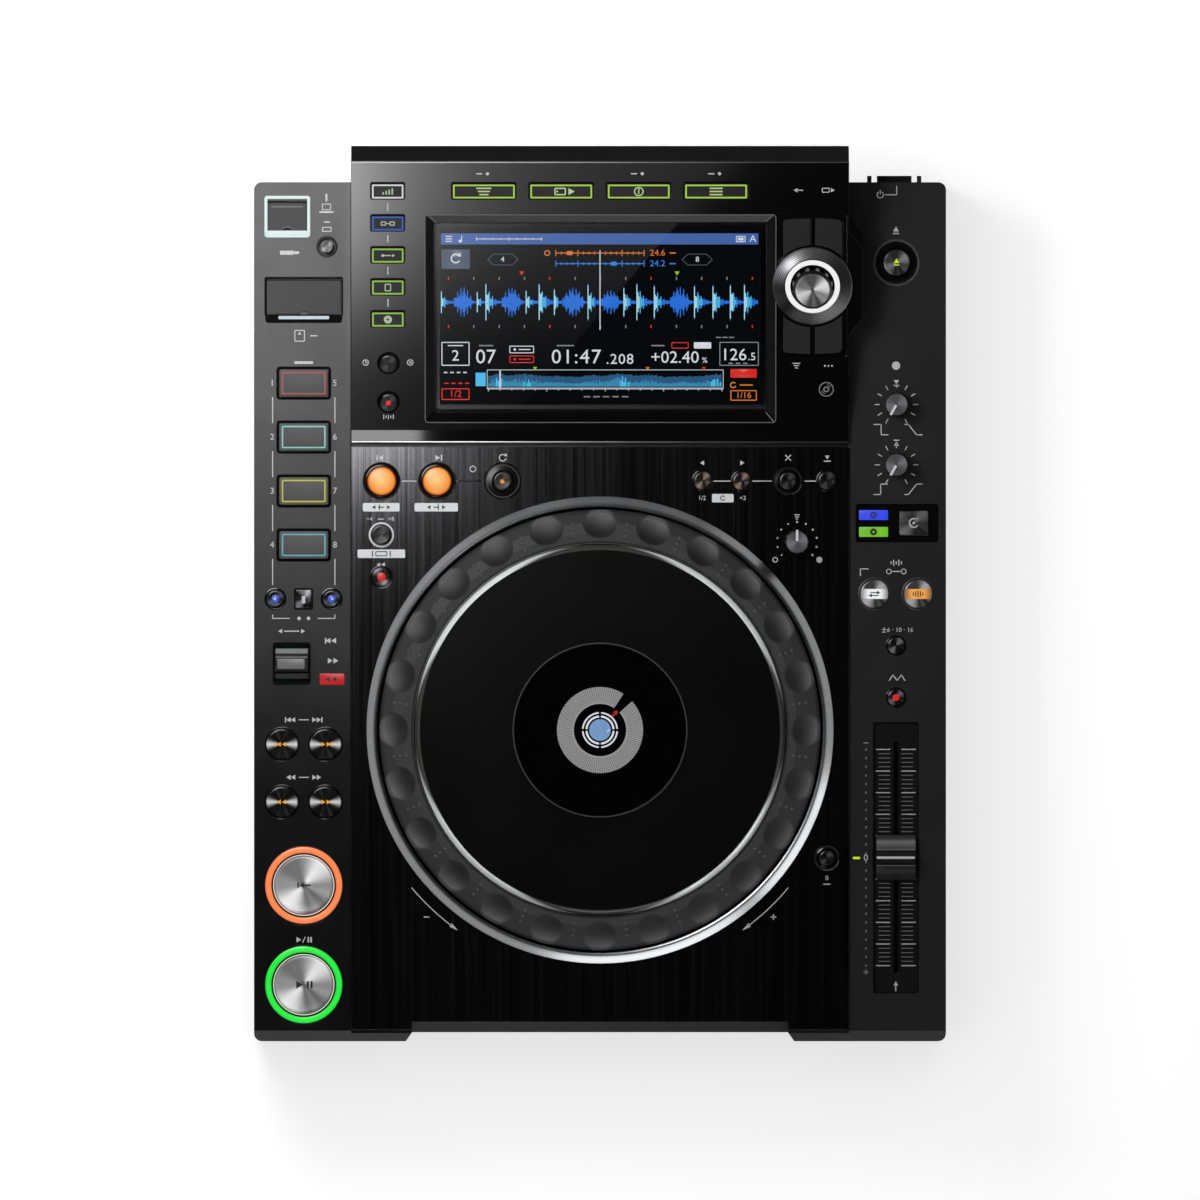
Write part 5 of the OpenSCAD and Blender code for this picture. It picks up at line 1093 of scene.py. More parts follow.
def fader():
    x, y = rightPlan["fader"]
    plan = {"reach": 50.0, "step": 2.0, "panelZ": 80.5, "dots": 26}
    z = plan["panelZ"] - 0.01
    fine, main = fresh(), fresh()
    for i in range(51):  # scale on both sides of the slot, longer every five
        v, long = -plan["reach"] + i * plan["step"], i % 5 == 0
        a, b = 2.6, 9.2 if long else 8.0
        for side in (-1, 1):
            plate(main if long else fine, (b - a, 0.5 if long else 0.4),
                  seat(x + side * (a + b) / 2, y + v, z), 0.07)
    piece(fine, "fader_scale", "case", printed("scaleGrey", "#5e5f61"))
    piece(main, "fader_scale_main", "case", printed("scaleLight", "#a2a3a5"))
    bm, draw = pen(seat, flat, 0.07)
    for i in range(plan["dots"]):
        v = plan["reach"] - i * 2 * plan["reach"] / (plan["dots"] - 1)
        draw((plate, 123.0, y + v, (0.5, 1.2), 0.2))
    draw((plate, 123.0, y + plan["reach"] + 3.0, (2.3, 0.5)),
         (plate, 123.0, y - plan["reach"] - 3.0, (2.3, 0.5)),
         (plate, 123.0, y - plan["reach"] - 3.0, (0.5, 2.3)))
    piece(bm, "fader_dots", "case", inkGrey)
    bm, draw = pen(seat, z, 0.07)
    digits(bm, "0", 3.2, seat(122.9, y - 0.2, flat), 0.09)
    draw((wedge, x, y - 58.6, 1.3, 90), (plate, x, y - 60.4, (0.5, 3.0)))
    piece(bm, "fader_zero", "case", inkWhite)
    sheet("fader_lamp", "case", "light_ring", lit("faderLamp", "#c8e010", 1.0), seat, flat, 0.3,
          (plate, 118.6, y - 0.2, (3.4, 1.1), 0.4, 0.1))
    sheet("fader_line", "fader_cap", "fader_cap", inkWhite, seat, 91.47, 0.1, (plate, x, y, (17.6, 1.1), 0.3))
    bm = fresh()  # painted highlight along each side of the cap's bar
    for side in (-1, 1):
        plate(bm, (17.7, 0.5), seat(x, y + side * 3.7, 86.6), 0.1, 0.2)
    piece(bm, "fader_bar_highlights", "fader_cap", printed("stepGrey", "#6c6d6f", 0.3))


def rightPrints():
    z = flat
    bm, draw = pen(seat, z, 0.07)
    # standby sign and its line to the switch
    draw((band, 129.6, 184.6, 1.25, 1.7, 120, 300, 28), (plate, 129.6, 185.8, (0.45, 1.9)))
    path(bm, [(131.9, 184.6), (137.2, 184.6), (137.2, 188.6)], 0.45, seat(0, 0, z), 0.07)
    draw((wedge, 136.9, 168.4, 1.5, 90), (plate, 136.9, 166.7, (2.7, 0.55)))  # eject sign
    draw((disc, 136.9, 105.6, 1.9, 28))  # record sign over the two knobs
    for x, y in (rightPlan["touch"], rightPlan["release"]):  # ring of strokes round each knob
        for i in range(11):
            a = math.radians(-150 + 30 * i)
            place = seat(x, y, z, -math.degrees(a)) @ seat(0, 8.9, 0)
            plate(bm, (0.42, 2.3), place, 0.07)
    path(bm, [(126.6, 78.4), (130.0, 78.4), (130.0, 73.6), (133.2, 73.6)], 0.45, seat(0, 0, z), 0.07)
    path(bm, [(141.0, 78.4), (142.6, 78.4), (146.4, 73.6), (149.0, 73.6)], 0.45, seat(0, 0, z), 0.07)
    path(bm, [(126.6, 46.0), (129.8, 46.0), (129.8, 50.8), (133.0, 50.8)], 0.45, seat(0, 0, z), 0.07)
    path(bm, [(141.0, 46.0), (142.6, 46.0), (146.4, 50.8), (149.0, 50.8)], 0.45, seat(0, 0, z), 0.07)
    draw((wedge, 137.1, 98.2, 1.4, -90), (plate, 137.1, 96.4, (2.6, 0.5)), (wedge, 137.1, 69.2, 1.4, 90),
         (plate, 137.1, 71.1, (2.6, 0.5)))
    path(bm, [(120.4, 8.6), (120.4, 11.6), (124.0, 11.6)], 0.45, seat(0, 0, z), 0.07)
    for i in range(5):
        draw((plate, 134.6 + 1.2 * i, 14.4, (0.5, 1.4 + (i % 2) * 1.4)))
    for dx in (-3.4, 3.4):
        draw((band, 137.0 + dx, 10.4, 0.9, 1.3, 0, 360, 20))
    draw((plate, 137.0, 10.4, (3.6, 0.45)), (digits, 131.4, -16.6, "±", 3.0),
         (digits, 138.8, -16.7, "6 · 10 · 16", 2.2))
    path(bm, [(133.8, -40.0), (135.4, -37.4), (137.4, -40.0), (139.4, -37.4), (141.0, -40.0)], 0.45,
         seat(0, 0, z), 0.07)
    piece(bm, "prints_right", "case", inkWhite)


standbyAndEject()
jogModeKey()
syncAndMaster()
tempoButtons()
fader()
rightPrints()
jogAdjust("touch_brake", *rightPlan["touch"], top, 150, "touch_brake_knob")
jogAdjust("release_start", *rightPlan["release"], top, 150, "release_start_knob")
print("right column")


screen = {"x": 0.2, "up": 53.28, "w": 153.0, "h": 90.2, "drop": 2.4, "glassT": 0.5,
          "imageH": -3.95, "white": "#e8eaee", "seed": 11}
keyPlan = {"browseX": (-53.6, -17.9, 17.9, 53.6), "browseUp": 114.4, "sourceX": -98.0, "sourceStep": 15.3,
           "keySize": (29.5, 7.6), "sourceSize": (15.4, 7.6), "modeX": -97.8, "timeUp": 32.08,
           "quantizeUp": 13.48}
selector = {"x": 98.2, "up": 69.08, "topH": 8.6}


def upFor(y, h=0.0):  # place up the slope of what is seen at this depth in plan
    return (y - pod["lowY"] + math.sin(pod["tilt"]) * h) / math.cos(pod["tilt"])


def podKeys():
    size, small = keyPlan["keySize"], keyPlan["sourceSize"]
    lime, white, blue, green = fresh(), fresh(), fresh(), fresh()
    for x in keyPlan["browseX"]:
        frameLine(lime, (size[0] - 1.0, size[1] - 1.0), 0.75, podSeat(x, keyPlan["browseUp"], 1.18), 0.08, 0.5)
    for i, target in enumerate((white, blue, green, green, green)):
        frameLine(target, (small[0] - 0.9, small[1] - 0.9), 0.75,
                  podSeat(keyPlan["sourceX"], keyPlan["browseUp"] - i * keyPlan["sourceStep"], 1.18), 0.08, 0.5)
    piece(lime, "browse_outlines", "browse_keys", lit("outlineLime", "#a8d040", 0.95))
    piece(white, "source_outline_a", "source_keys", lit("outlineWhite", "#d8dadc", 0.95))
    piece(blue, "source_outline_b", "source_keys", lit("outlineBlue", "#2c56b4", 1.0))
    piece(green, "source_outlines", "source_keys", lit("outlineGreen", "#8fc040", 0.95))
    z, up = 1.18, keyPlan["browseUp"]
    bm, draw = pen(podSeat, z, 0.08)
    for k in range(3):  # list, tag, facts and menu signs
        draw((plate, -53.6, up + 1.5 - 1.5 * k, (7.0 - k * 1.4, 0.65)),
             (plate, 53.6, up + 1.5 - 1.5 * k, (6.0, 0.65)))
    draw((frameLine, -18.4, up, (5.4, 3.6), 0.6, 0.7), (wedge, -13.6, up, 1.9))
    disc(bm, 0.45, podSeat(-19.8, up, z), 0.1, 14)
    draw((band, 17.9, up, 1.7, 2.25, 0, 360, 28), (plate, 17.9, up - 0.3, (0.6, 1.7)),
         (disc, 17.9, up + 1.1, 0.4, 12))
    piece(bm, "browse_marks", "browse_keys", lit("markLime", "#c4d8a0", 0.85))
    x = keyPlan["sourceX"]
    bm, draw = pen(podSeat, z, 0.08)
    rows = [keyPlan["browseUp"] - i * keyPlan["sourceStep"] for i in range(5)]
    for k in range(4):
        draw((plate, x - 2.1 + 1.4 * k, rows[0] - 0.9 + 0.3 * k, (0.7, 1.2 + 0.6 * k)))
    for dx in (-2.0, 2.0):
        draw((frameLine, x + dx, rows[1], (2.4, 2.0), 0.45, 0.3))
    draw((plate, x, rows[1], (1.8, 0.45)), (plate, x - 0.3, rows[2], (3.6, 0.5)),
         (wedge, x + 2.4, rows[2], 0.9), (disc, x - 2.3, rows[2], 0.7, 14),
         (frameLine, x, rows[3], (3.0, 3.6), 0.5, 0.5), (band, x, rows[4], 0.55, 1.9, 0, 360, 26))
    piece(bm, "source_marks", "source_keys", lit("markPale", "#b8c8b0", 0.85))
    for name, up in (("time", keyPlan["timeUp"]), ("quantize", keyPlan["quantizeUp"])):
        bm = fresh()
        capShape(bm, 0, 0, 0, 4.15, 2.0, 0.25)
        markDisc(bm, [(0, 0, 4.2, 50)])
        moved(bm, bm.verts, podSeat(keyPlan["modeX"], up))
        made = piece(bm, name + "_cap", "mode_keys", spunPod)
    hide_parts("mode_keys")
    bm = fresh()
    for up in (keyPlan["timeUp"], keyPlan["quantizeUp"]):
        turned(bm, [(4.5, -0.3), (4.5, 0.3), (4.8, 0.45), (5.3, 0.2), (5.35, -0.3)],
               podSeat(keyPlan["modeX"], up), 40)
    piece(bm, "mode_seats", "case", seatBlack)
    sheet("quantize_lamp", "mode_keys", "key_black", lit("quantizeRed", "#f01c22", 1.0), podSeat, 1.96, 0.1,
          (disc, keyPlan["modeX"], keyPlan["quantizeUp"], 1.15, 20, 0.04))


def podPrints():
    z = 0.0
    bm, draw = pen(podSeat, z, 0.07)
    x = keyPlan["sourceX"]
    for i in range(4):
        up = keyPlan["browseUp"] - (i + 0.5) * keyPlan["sourceStep"]
        draw((plate, x, up, (0.45, 3.6)))
    signX, signUp = 104.6, upFor(94.6)
    for bx in keyPlan["browseX"]:
        if bx != -17.9:
            draw((plate, bx - 2.2, upFor(194.0), (2.8, 0.55)), (disc, bx + 1.6, upFor(194.0), 0.75, 16))
    for dx in (-10.4, 10.2):  # time and auto cue either side of the upper button, grid under the lower
        draw((band, -97.9 + dx, upFor(107.0), 1.1, 1.5, 0, 360, 20))
    draw((plate, -108.3, upFor(107.5), (0.4, 1.3)), (plate, -107.9, upFor(107.0), (1.0, 0.4)),
         (wedge, -87.6, upFor(107.0), 0.8))
    for k in range(5):
        draw((plate, -100.0 + 1.1 * k, upFor(81.9), (0.4, 2.2 if k % 2 == 0 else 1.3)))
    draw((wedge, 90.6, upFor(186.4), 1.2, 180))  # back, tag, filter and shortcut signs
    line(bm, (91.0, upFor(186.4)), (93.6, upFor(186.4)), 0.45, onPod, 0.07)
    draw((frameLine, 104.2, upFor(186.4), (3.6, 2.3), 0.4, 0.5), (wedge, 107.2, upFor(186.4), 1.2))
    for k in range(3):
        draw((plate, 90.8, upFor(106.6) - 1.1 * k, (3.6 - 1.1 * k, 0.45)),
             (disc, 104.0 + 1.6 * k, upFor(105.4), 0.42, 12))
    piece(bm, "prints_pod", "case", inkWhite)
    sheet("prints_disc", "case", "pod_gloss", inkGrey, podSeat, z, 0.07,  # disc sign under the selector
          (band, signX, signUp, 3.0, 3.5, 0, 360, 40), (band, signX, signUp, 0.8, 1.4, 0, 360, 24),
          (band, signX, signUp, 2.0, 2.3, 20, 60, 10), (band, signX, signUp, 2.0, 2.3, 200, 60, 10))


def selectorKnob():
    x, up, h = selector["x"], selector["up"], selector["topH"]
    bm = fresh()  # dark chrome dish round the knob
    turned(bm, [(12.75, 0.6), (12.78, 2.25), (13.4, 2.68), (15.0, 2.25), (16.8, 1.68), (17.9, 1.48),
                (18.45, 0.85),
                (18.46, 0.1)], Matrix.Identity(4), 96)
    markDisc(bm, [(0, 0, 18.4, -50)])
    moved(bm, bm.verts, podSeat(x, up))
    piece(bm, "selector_dish", "case", spun("spunDish", "#0a0a0b", "#a4a5a8", 0.27, 0.7, 2.0))
    bm = fresh()
    turned(bm, [(10.25, 0.9), (10.3, 1.5), (10.8, 1.75), (12.0, 1.8), (12.6, 1.55), (12.65, 0.9)],
           podSeat(x, up), 96)
    piece(bm, "selector_ring", "case", lit("selectorWhite", "#f4f4f2", 1.0, unevenness=0.1))
    bm = fresh()
    turned(bm, [(7.96, h - 0.3), (7.9, h + 0.06), (7.5, h + 0.12), (7.1, h + 0.06), (0, h - 0.1)],
           Matrix.Identity(4), 72)
    markDisc(bm, [(0, 0, 7.9, 25)])
    moved(bm, bm.verts, podSeat(x, up))
    piece(bm, "selector_lid", "selector_knob",
          spun("spunLid", "#1e1f20", "#f4f5f6", 0.24, 0.4, 2.4))
    bm = fresh()  # two dark stripes on the upper left key of the cross
    for dy in (0.0, 3.4):
        plate(bm, (11.6, 1.3), podSeat(x - 7.4, up + 24.6 + dy, 1.19), 0.07)
    piece(bm, "selector_stripes", "selector_keys", inkDark)


def screenFrame():
    x, up, w, h = screen["x"], screen["up"], screen["w"], screen["h"]
    bm = fresh()  # clear pane with polished edges
    plate(bm, (w - 0.4, h - 0.4), podSeat(x, up, -screen["drop"] - screen["glassT"]), screen["glassT"], 0.6)
    piece(bm, "glass_pane", "case", paneClear, ("screen_glass",))
    # light line round the screen's recess: a painted highlight on its edge
    sheet("screen_edge_highlight", "case", "pod_gloss", printed("edgeLine", "#5c5e60", 0.3), podSeat, -0.02, 0.09,
          (frameLine, x, up, (w + 9.5, h + 9.5), 0.4, 1.6))
    fall = {"deep": 7.2, "drop": 15.0, "spare": 0.35}  # matt strip on the slope behind the ridge
    steep, slope = math.atan2(fall["drop"], fall["deep"]), math.hypot(fall["drop"], fall["deep"])
    bm = fresh()
    plate(bm, (229.4, slope - 2 * fall["spare"]),
          Matrix.Translation((0, pod["ridgeY"] + fall["deep"] / 2, pod["ridgeZ"] - fall["drop"] / 2))
          @ Matrix.Rotation(-steep, 4, "X") @ seat(0, 0, -0.01), 0.09, 0.8)
    piece(bm, "ridge_strip", "case", moulded("stripBlack", "#050505", 0.7, 0.00001, 0.0,
                                                          Specular_IOR_Level=0.03))
    bm = fresh()  # painted highlights: a bright edge along the ridge, light at its left end and fading to the right, and a silver strip along the foot of the pod for the lit edge of its ledge
    plate(bm, (228.8, 0.5), podSeat(0, pod["length"] - 0.6, -0.02), 0.09)
    p = Paint("ridgeHighlight")
    x, y, z = p.axes()
    p.set(Base_Color=p.blend(x.step(-0.115, 0.09), shade("#b4b5b7"), shade("#303133")), Roughness=0.35)
    piece(bm, "ridge_highlight", "case", p.material)
    sheet("pod_foot_highlight", "case", "pod_gloss", polished("footHighlightSilver", "#8d8f92", rough=0.3), seat, 84.1, 0.42,
          (plate, 0, 70.2, (229.6, 0.9), 0.0, 0.15))


def tile(bm, size, place):  # one flat patch, without thickness
    bmesh.ops.create_grid(bm, x_segments=1, y_segments=1, size=0.5,
                          matrix=place @ Matrix.Diagonal((size[0], size[1], 1, 1)))


def onScreen(x, y, lift=0.0, turn=0.0):
    return podSeat(x, upFor(y, screen["imageH"]), screen["imageH"] + lift, turn)


def panel(layers, colour):  # each colour of the picture is one sheet
    return layers.setdefault(colour, fresh())


def screenPicture():
    layers = {}
    tile(panel(layers, "titleBlue"), (146.6, 5.3), onScreen(-0.2, 164.0))
    ink = panel(layers, "white")
    for k in range(3):  # title row: list sign, note and a position bar
        tile(ink, (3.0, 0.5), onScreen(-69.8, 165.2 - 1.15 * k, 0.1))
    disc(ink, 0.75, onScreen(-64.6, 163.0, 0.08), 0.05, 16)
    tile(ink, (0.4, 2.8), onScreen(-63.9, 164.2, 0.1))
    tile(ink, (30.0, 0.35), onScreen(-42.0, 164.0, 0.1))
    for k in range(9):
        tile(ink, (0.35, 1.6 if k % 4 == 0 else 0.9), onScreen(-57.0 + 3.75 * k, 164.0, 0.1))
    frameLine(ink, (4.4, 3.0), 0.4, onScreen(65.0, 164.0, 0.08), 0.05, 0.4)
    tile(ink, (2.6, 1.4), onScreen(65.0, 164.0, 0.1))
    digits(ink, "A", 3.4, onScreen(70.6, 164.0, 0.08), 0.05)
    plate(panel(layers, "slate"), (13.2, 9.3), onScreen(-66.7, 154.7), 0.05, 0.6)
    band(ink, 1.7, 2.3, onScreen(-66.7, 155.0, 0.1), 0.05, 30, 300, 30)
    wedge(ink, 1.1, onScreen(-64.9, 156.6, 0.1, -50), 0.05)
    tag = panel(layers, "slateLine")
    path(tag, [(-51.9, 0), (-49.2, 2.6), (-40.6, 2.6), (-37.9, 0), (-40.6, -2.6), (-49.2, -2.6), (-51.9, 0)],
         0.4,
         onScreen(0, 154.5), 0.05)
    path(tag, [(37.9, 0), (40.6, 2.6), (49.2, 2.6), (51.9, 0), (49.2, -2.6), (40.6, -2.6), (37.9, 0)], 0.4,
         onScreen(0, 154.5), 0.05)
    digits(ink, "4", 2.6, onScreen(-45.0, 154.5), 0.05)
    digits(ink, "8", 2.6, onScreen(45.0, 154.5), 0.05)
    for y, colour, text in ((157.5, "orange", "24.6"), (152.6, "azure", "24.2")):  # phase meters
        meter = panel(layers, colour)
        tile(meter, (41.0, 0.45), onScreen(0, y))
        for k in range(17):
            tile(meter, (0.4, 3.0 if k % 4 == 0 else 1.5), onScreen(-20.4 + 2.55 * k, y, 0.05))
        tile(meter, (2.2, 2.0), onScreen(-14.0 if colour == "orange" else 6.4, y, 0.05))
        digits(meter, text, 3.1, onScreen(26.6, y), 0.05)
        tile(meter, (3.0, 0.6), onScreen(33.6, y))
    band(panel(layers, "orange"), 0.9, 1.4, onScreen(-24.4, 157.5), 0.05, steps=20)
    waves(layers)
    lowerRow(layers)
    colours = {"titleBlue": ("#3d62a8", 0.95), "white": ("#dfe3ea", 0.95), "slate": ("#4e5b70", 0.9),
               "slateLine": ("#3f4854", 0.9), "orange": ("#e07a28", 0.95), "azure": ("#2f7fe0", 0.95),
               "cyan": ("#4cc0f0", 1.0), "blue": ("#1c78ea", 1.0), "navy": ("#0f3a86", 1.0),
               "pale": ("#b4ecfa", 1.0), "teal": ("#1c5680", 1.0), "aqua": ("#2f8cb8", 1.0),
               "red": ("#e02a20", 0.95),
               "green": ("#9ccc30", 0.95), "grey": ("#8a9098", 0.9)}
    for name, bm in layers.items():
        code, strength = colours[name]
        piece(bm, "picture_" + name.lower(), "case", lit("picture" + name.title(), code, strength,
                                                               unevenness=0.1, base="#050505"), smooth=0)


def waves(layers):
    rng = random.Random(screen["seed"])
    cyan, blue, navy = (panel(layers, c) for c in ("cyan", "blue", "navy"))
    pale = panel(layers, "pale")
    count, left, step, at = 292, -73.3, 0.502, 0
    while at < count:  # zoomed wave: struck beats that die away, thin between them, mirrored about the middle
        kind, rest = rng.choice(("struck", "held", "struck", "short")), rng.randrange(1, 4)
        run = {"struck": 10, "held": 18, "short": 6}[kind] + rng.randrange(0, 5)
        loud = {"struck": 8.6, "held": 7.0, "short": 6.0}[kind] * (0.72 + 0.28 * rng.random())
        for k in range(min(run + rest, count - at)):
            beat, x = k / run, left + (at + k) * step
            fade = math.sin(math.pi * min(beat * 0.9 + 0.1, 1)) if kind == "held" else math.exp(-beat * 2.3)
            fade *= k < run
            spike = 1.0 if k % 3 == 0 else 0.4 + 0.4 * rng.random()
            high = max(0.35 + 0.4 * rng.random(), loud * fade * spike)
            first = pale if fade > 0.62 else cyan
            target = blue if kind == "held" else first if fade > 0.3 else blue
            tile(target, (step * 0.8, 2 * high), onScreen(x, 134.8))
            tile(navy, (step * 0.98, 2 * min(9.0, high * 1.12)), onScreen(x, 134.8, -0.12))
        at += run + rest
    for i in range(152):  # whole track: short bars over its base line
        x = -51.4 + i * 0.71
        swell = 0.55 + 0.3 * math.sin(i * 0.09) + 0.15 * math.sin(i * 0.31)
        high = 6.4 * (0.72 + 0.28 * swell) * (0.86 + 0.14 * rng.random())
        foot, h = upFor(95.9, screen["imageH"]), screen["imageH"]
        tile(panel(layers, "teal"), (0.66, high), podSeat(x, foot + high / 2, h))
        low = high * (0.3 + 0.5 * swell * rng.random())
        crest = cyan if swell > 0.8 and rng.random() < 0.6 else panel(layers, "aqua")
        tile(crest, (0.66, low), podSeat(x, foot + low / 2, h + 0.08))
    white = panel(layers, "white")
    tile(white, (0.45, 38.0), onScreen(0, 140.4, 0.15))
    tile(white, (108.4, 0.3), onScreen(2.4, 95.2))
    for i in range(21):
        tile(white, (0.3, 1.5 if i % 5 == 0 else 0.8), onScreen(-51.6 + 5.4 * i, 94.4))
    tile(white, (0.7, 8.4), onScreen(-46.2, 99.3, 0.15))
    frameLine(white, (109.4, 9.4), 0.28, onScreen(2.4, 99.2, 0.05), 0.03, 0.3)
    red, green, orange, grey = (panel(layers, c) for c in ("red", "green", "orange", "grey"))
    for i in range(13):  # beat ticks over and under the wave
        x = -70.0 + 11.7 * i
        tile(red if i % 4 == 0 else grey, (0.5, 1.5), onScreen(x, 145.8))
        tile(red if i % 4 == 0 else grey, (0.5, 1.5), onScreen(x, 123.6))
    for x, target in ((-30.0, green), (22.0, orange), (48.0, red)):  # cue marks
        wedge(target, 1.1, onScreen(x, 104.4, 0.05, -90), 0.04)
    wedge(red, 1.3, onScreen(-36.2, 148.4, 0.05, -90), 0.04)
    wedge(green, 1.3, onScreen(35.6, 148.4, 0.05, -90), 0.04)


def lowerRow(layers):
    white, red, orange, grey = (panel(layers, c) for c in ("white", "red", "orange", "grey"))
    plan = {"row": 109.4, "tall": 7.1, "small": 5.1}
    y = plan["row"]
    frameLine(white, (13.0, 11.4), 0.45, onScreen(-66.8, 111.0), 0.04, 0.5)
    digits(white, "2", 5.4, onScreen(-66.8, 110.0, 0.05), 0.05)
    tile(white, (7.0, 0.5), onScreen(-66.8, 114.8))
    digits(white, "07", plan["tall"], onScreen(-52.8, y, 0.05), 0.05)
    tile(grey, (6.6, 0.6), onScreen(-52.6, 114.8))
    for dy, target in ((3.6, white), (-0.9, red)):
        frameLine(target, (11.4, 3.6), 0.4, onScreen(-36.2, y + dy), 0.04, 0.5)
        disc(target, 0.6, onScreen(-39.4, y + dy, 0.05), 0.04, 14)
        tile(target, (5.4, 0.5), onScreen(-34.9, y + dy))
    digits(white, "01:47", plan["tall"], onScreen(-11.0, y, 0.05), 0.05, 1.1)
    digits(white, ".208", plan["small"], onScreen(9.2, y - 1.0, 0.05), 0.05, 1.1)
    tile(grey, (8.0, 0.6), onScreen(-16.0, 114.8))
    digits(white, "+02.40", plan["tall"] * 0.84, onScreen(34.6, y - 0.2, 0.05), 0.05)
    digits(white, "%", 2.8, onScreen(48.4, y - 1.4, 0.05), 0.05)
    tile(grey, (6.0, 0.6), onScreen(26.8, 114.8))
    frameLine(red, (8.0, 3.0), 0.4, onScreen(37.0, 114.9), 0.04, 0.4)
    plate(white, (8.0, 3.0), onScreen(47.4, 114.9), 0.04, 0.4)
    frameLine(grey, (18.2, 11.4), 0.4, onScreen(64.3, 111.0), 0.04, 0.5)
    digits(white, "126", plan["tall"] * 0.84, onScreen(61.9, 110.4, 0.05), 0.05)
    digits(white, ".5", plan["small"] * 0.76, onScreen(70.2, 109.6, 0.05), 0.05)
    for k in range(3):
        tile(grey, (2.0, 0.6), onScreen(60.4 + 3.4 * k, 106.6))
        tile(grey, (2.4, 0.5), onScreen(54.8 + 3.0 * k, 118.6))
    frameLine(red, (13.0, 5.6), 0.5, onScreen(-66.8, 92.4), 0.04, 0.5)
    digits(red, "1/2", 3.4, onScreen(-66.8, 92.4, 0.05), 0.05)
    for k in range(4):
        tile(white, (1.6, 0.6), onScreen(-71.4 + 3.0 * k, 102.4))
        tile(red, (1.9, 0.6), onScreen(-71.0 + 3.2 * k, 97.4))
    plate(red, (12.2, 4.2), onScreen(66.4, 102.0), 0.04, 0.4)
    tile(panel(layers, "cyan"), (4.6, 6.4), onScreen(-55.2, 99.2))
    band(orange, 1.0, 1.5, onScreen(61.6, 96.6), 0.04, 40, 300, 20)
    tile(orange, (6.0, 0.6), onScreen(67.6, 96.6))
    frameLine(orange, (12.2, 5.0), 0.45, onScreen(66.4, 91.8), 0.04, 0.4)
    digits(orange, "1/16", 3.0, onScreen(66.4, 91.8, 0.05), 0.05)
    for k in range(5):
        tile(grey, (3.0, 0.6), onScreen(-6.0 + 4.4 * k, 91.2))


podKeys()
podPrints()
selectorKnob()
screenFrame()
screenPicture()
print("screen pod")


rear = {"y": 187.4, "lan": (44, 48), "usb": (18, 48), "jack": (-8, 48), "coax": (-36, 48), "left": (-64, 48),
        "right": (-86, 48), "inlet": (92, 50)}


def rearSeat(x, z, out=0.0, turn=0.0):  # place on the rear panel, facing backwards
    facing = Matrix(((-1, 0, 0, 0), (0, 0, 1, 0), (0, 1, 0, 0), (0, 0, 0, 1)))
    return Matrix.Translation((x, rear["y"] + out, z)) @ facing @ seat(0, 0, 0, turn)


def rearSockets():
    nickel, gold = polished("nickel", "#c4c6c9", rough=0.2), polished("gold", "#d0a85c", rough=0.22)
    bm = fresh()  # pressed shells of the network and data sockets, nut of the jack
    frameLine(bm, (16.0, 13.6), 2.0, rearSeat(*rear["lan"], 0.59), 0.12, 0.3)
    frameLine(bm, (12.0, 10.8), 1.4, rearSeat(*rear["usb"], 0.59), 0.12, 0.3)
    turned(bm, [(1.85, 1.55), (1.9, 1.75), (2.9, 1.75), (3.08, 1.5), (3.08, 0.2)], rearSeat(*rear["jack"]), 40)
    for name in ("coax", "left", "right"):
        turned(bm, [(3.3, 7.9), (3.35, 8.1), (4.0, 8.1), (4.22, 7.8), (4.22, 1.45)], rearSeat(*rear[name]), 48)
    piece(bm, "rear_shells", "case", nickel)
    bm, draw = pen(rearSeat, -2.4, 1.5)
    for k in range(8):
        plate(bm, (0.5, 0.5), rearSeat(rear["lan"][0] - 3.5 + k, rear["lan"][1] + 3.6, -7.0), 6.4)
    for dx in (-7, 7):
        draw((plate, rear["inlet"][0] + dx, rear["inlet"][1] - 1.9, (1.9, 3.9), 0.4, 0.2))
    draw((plate, rear["inlet"][0], rear["inlet"][1] + 2.6, (1.9, 3.9), 0.4, 0.2))
    piece(bm, "rear_contacts", "case", gold)
    for name, colour in (("coax", "#d8741c"), ("left", "#dcdcd8"), ("right", "#b81c20")):
        bm = fresh()  # coloured insulator and collar of each phono socket
        band(bm, 1.7, 3.28, rearSeat(*rear[name], 7.9), 0.1, steps=40)
        turned(bm, [(4.3, 1.42), (4.35, 1.6), (4.9, 1.6), (5.12, 1.4), (5.12, 0.1)], rearSeat(*rear[name]), 48)
        piece(bm, "phono_" + name, "case",
              moulded("phono" + name.title(), colour, 0.35, 0.00001, 0.0))
    for dx, colour in ((-4.6, "#e8a020"), (4.6, "#30c040")):
        sheet("lan_lamp_" + ("a" if dx < 0 else "b"), "case", "socket_metal",
              lit("lanLamp" + colour[1:3], colour, 0.7),
              rearSeat, 0.72, 0.08, (plate, rear["lan"][0] + dx, rear["lan"][1] - 5.4, (2.0, 1.4), 0.2))


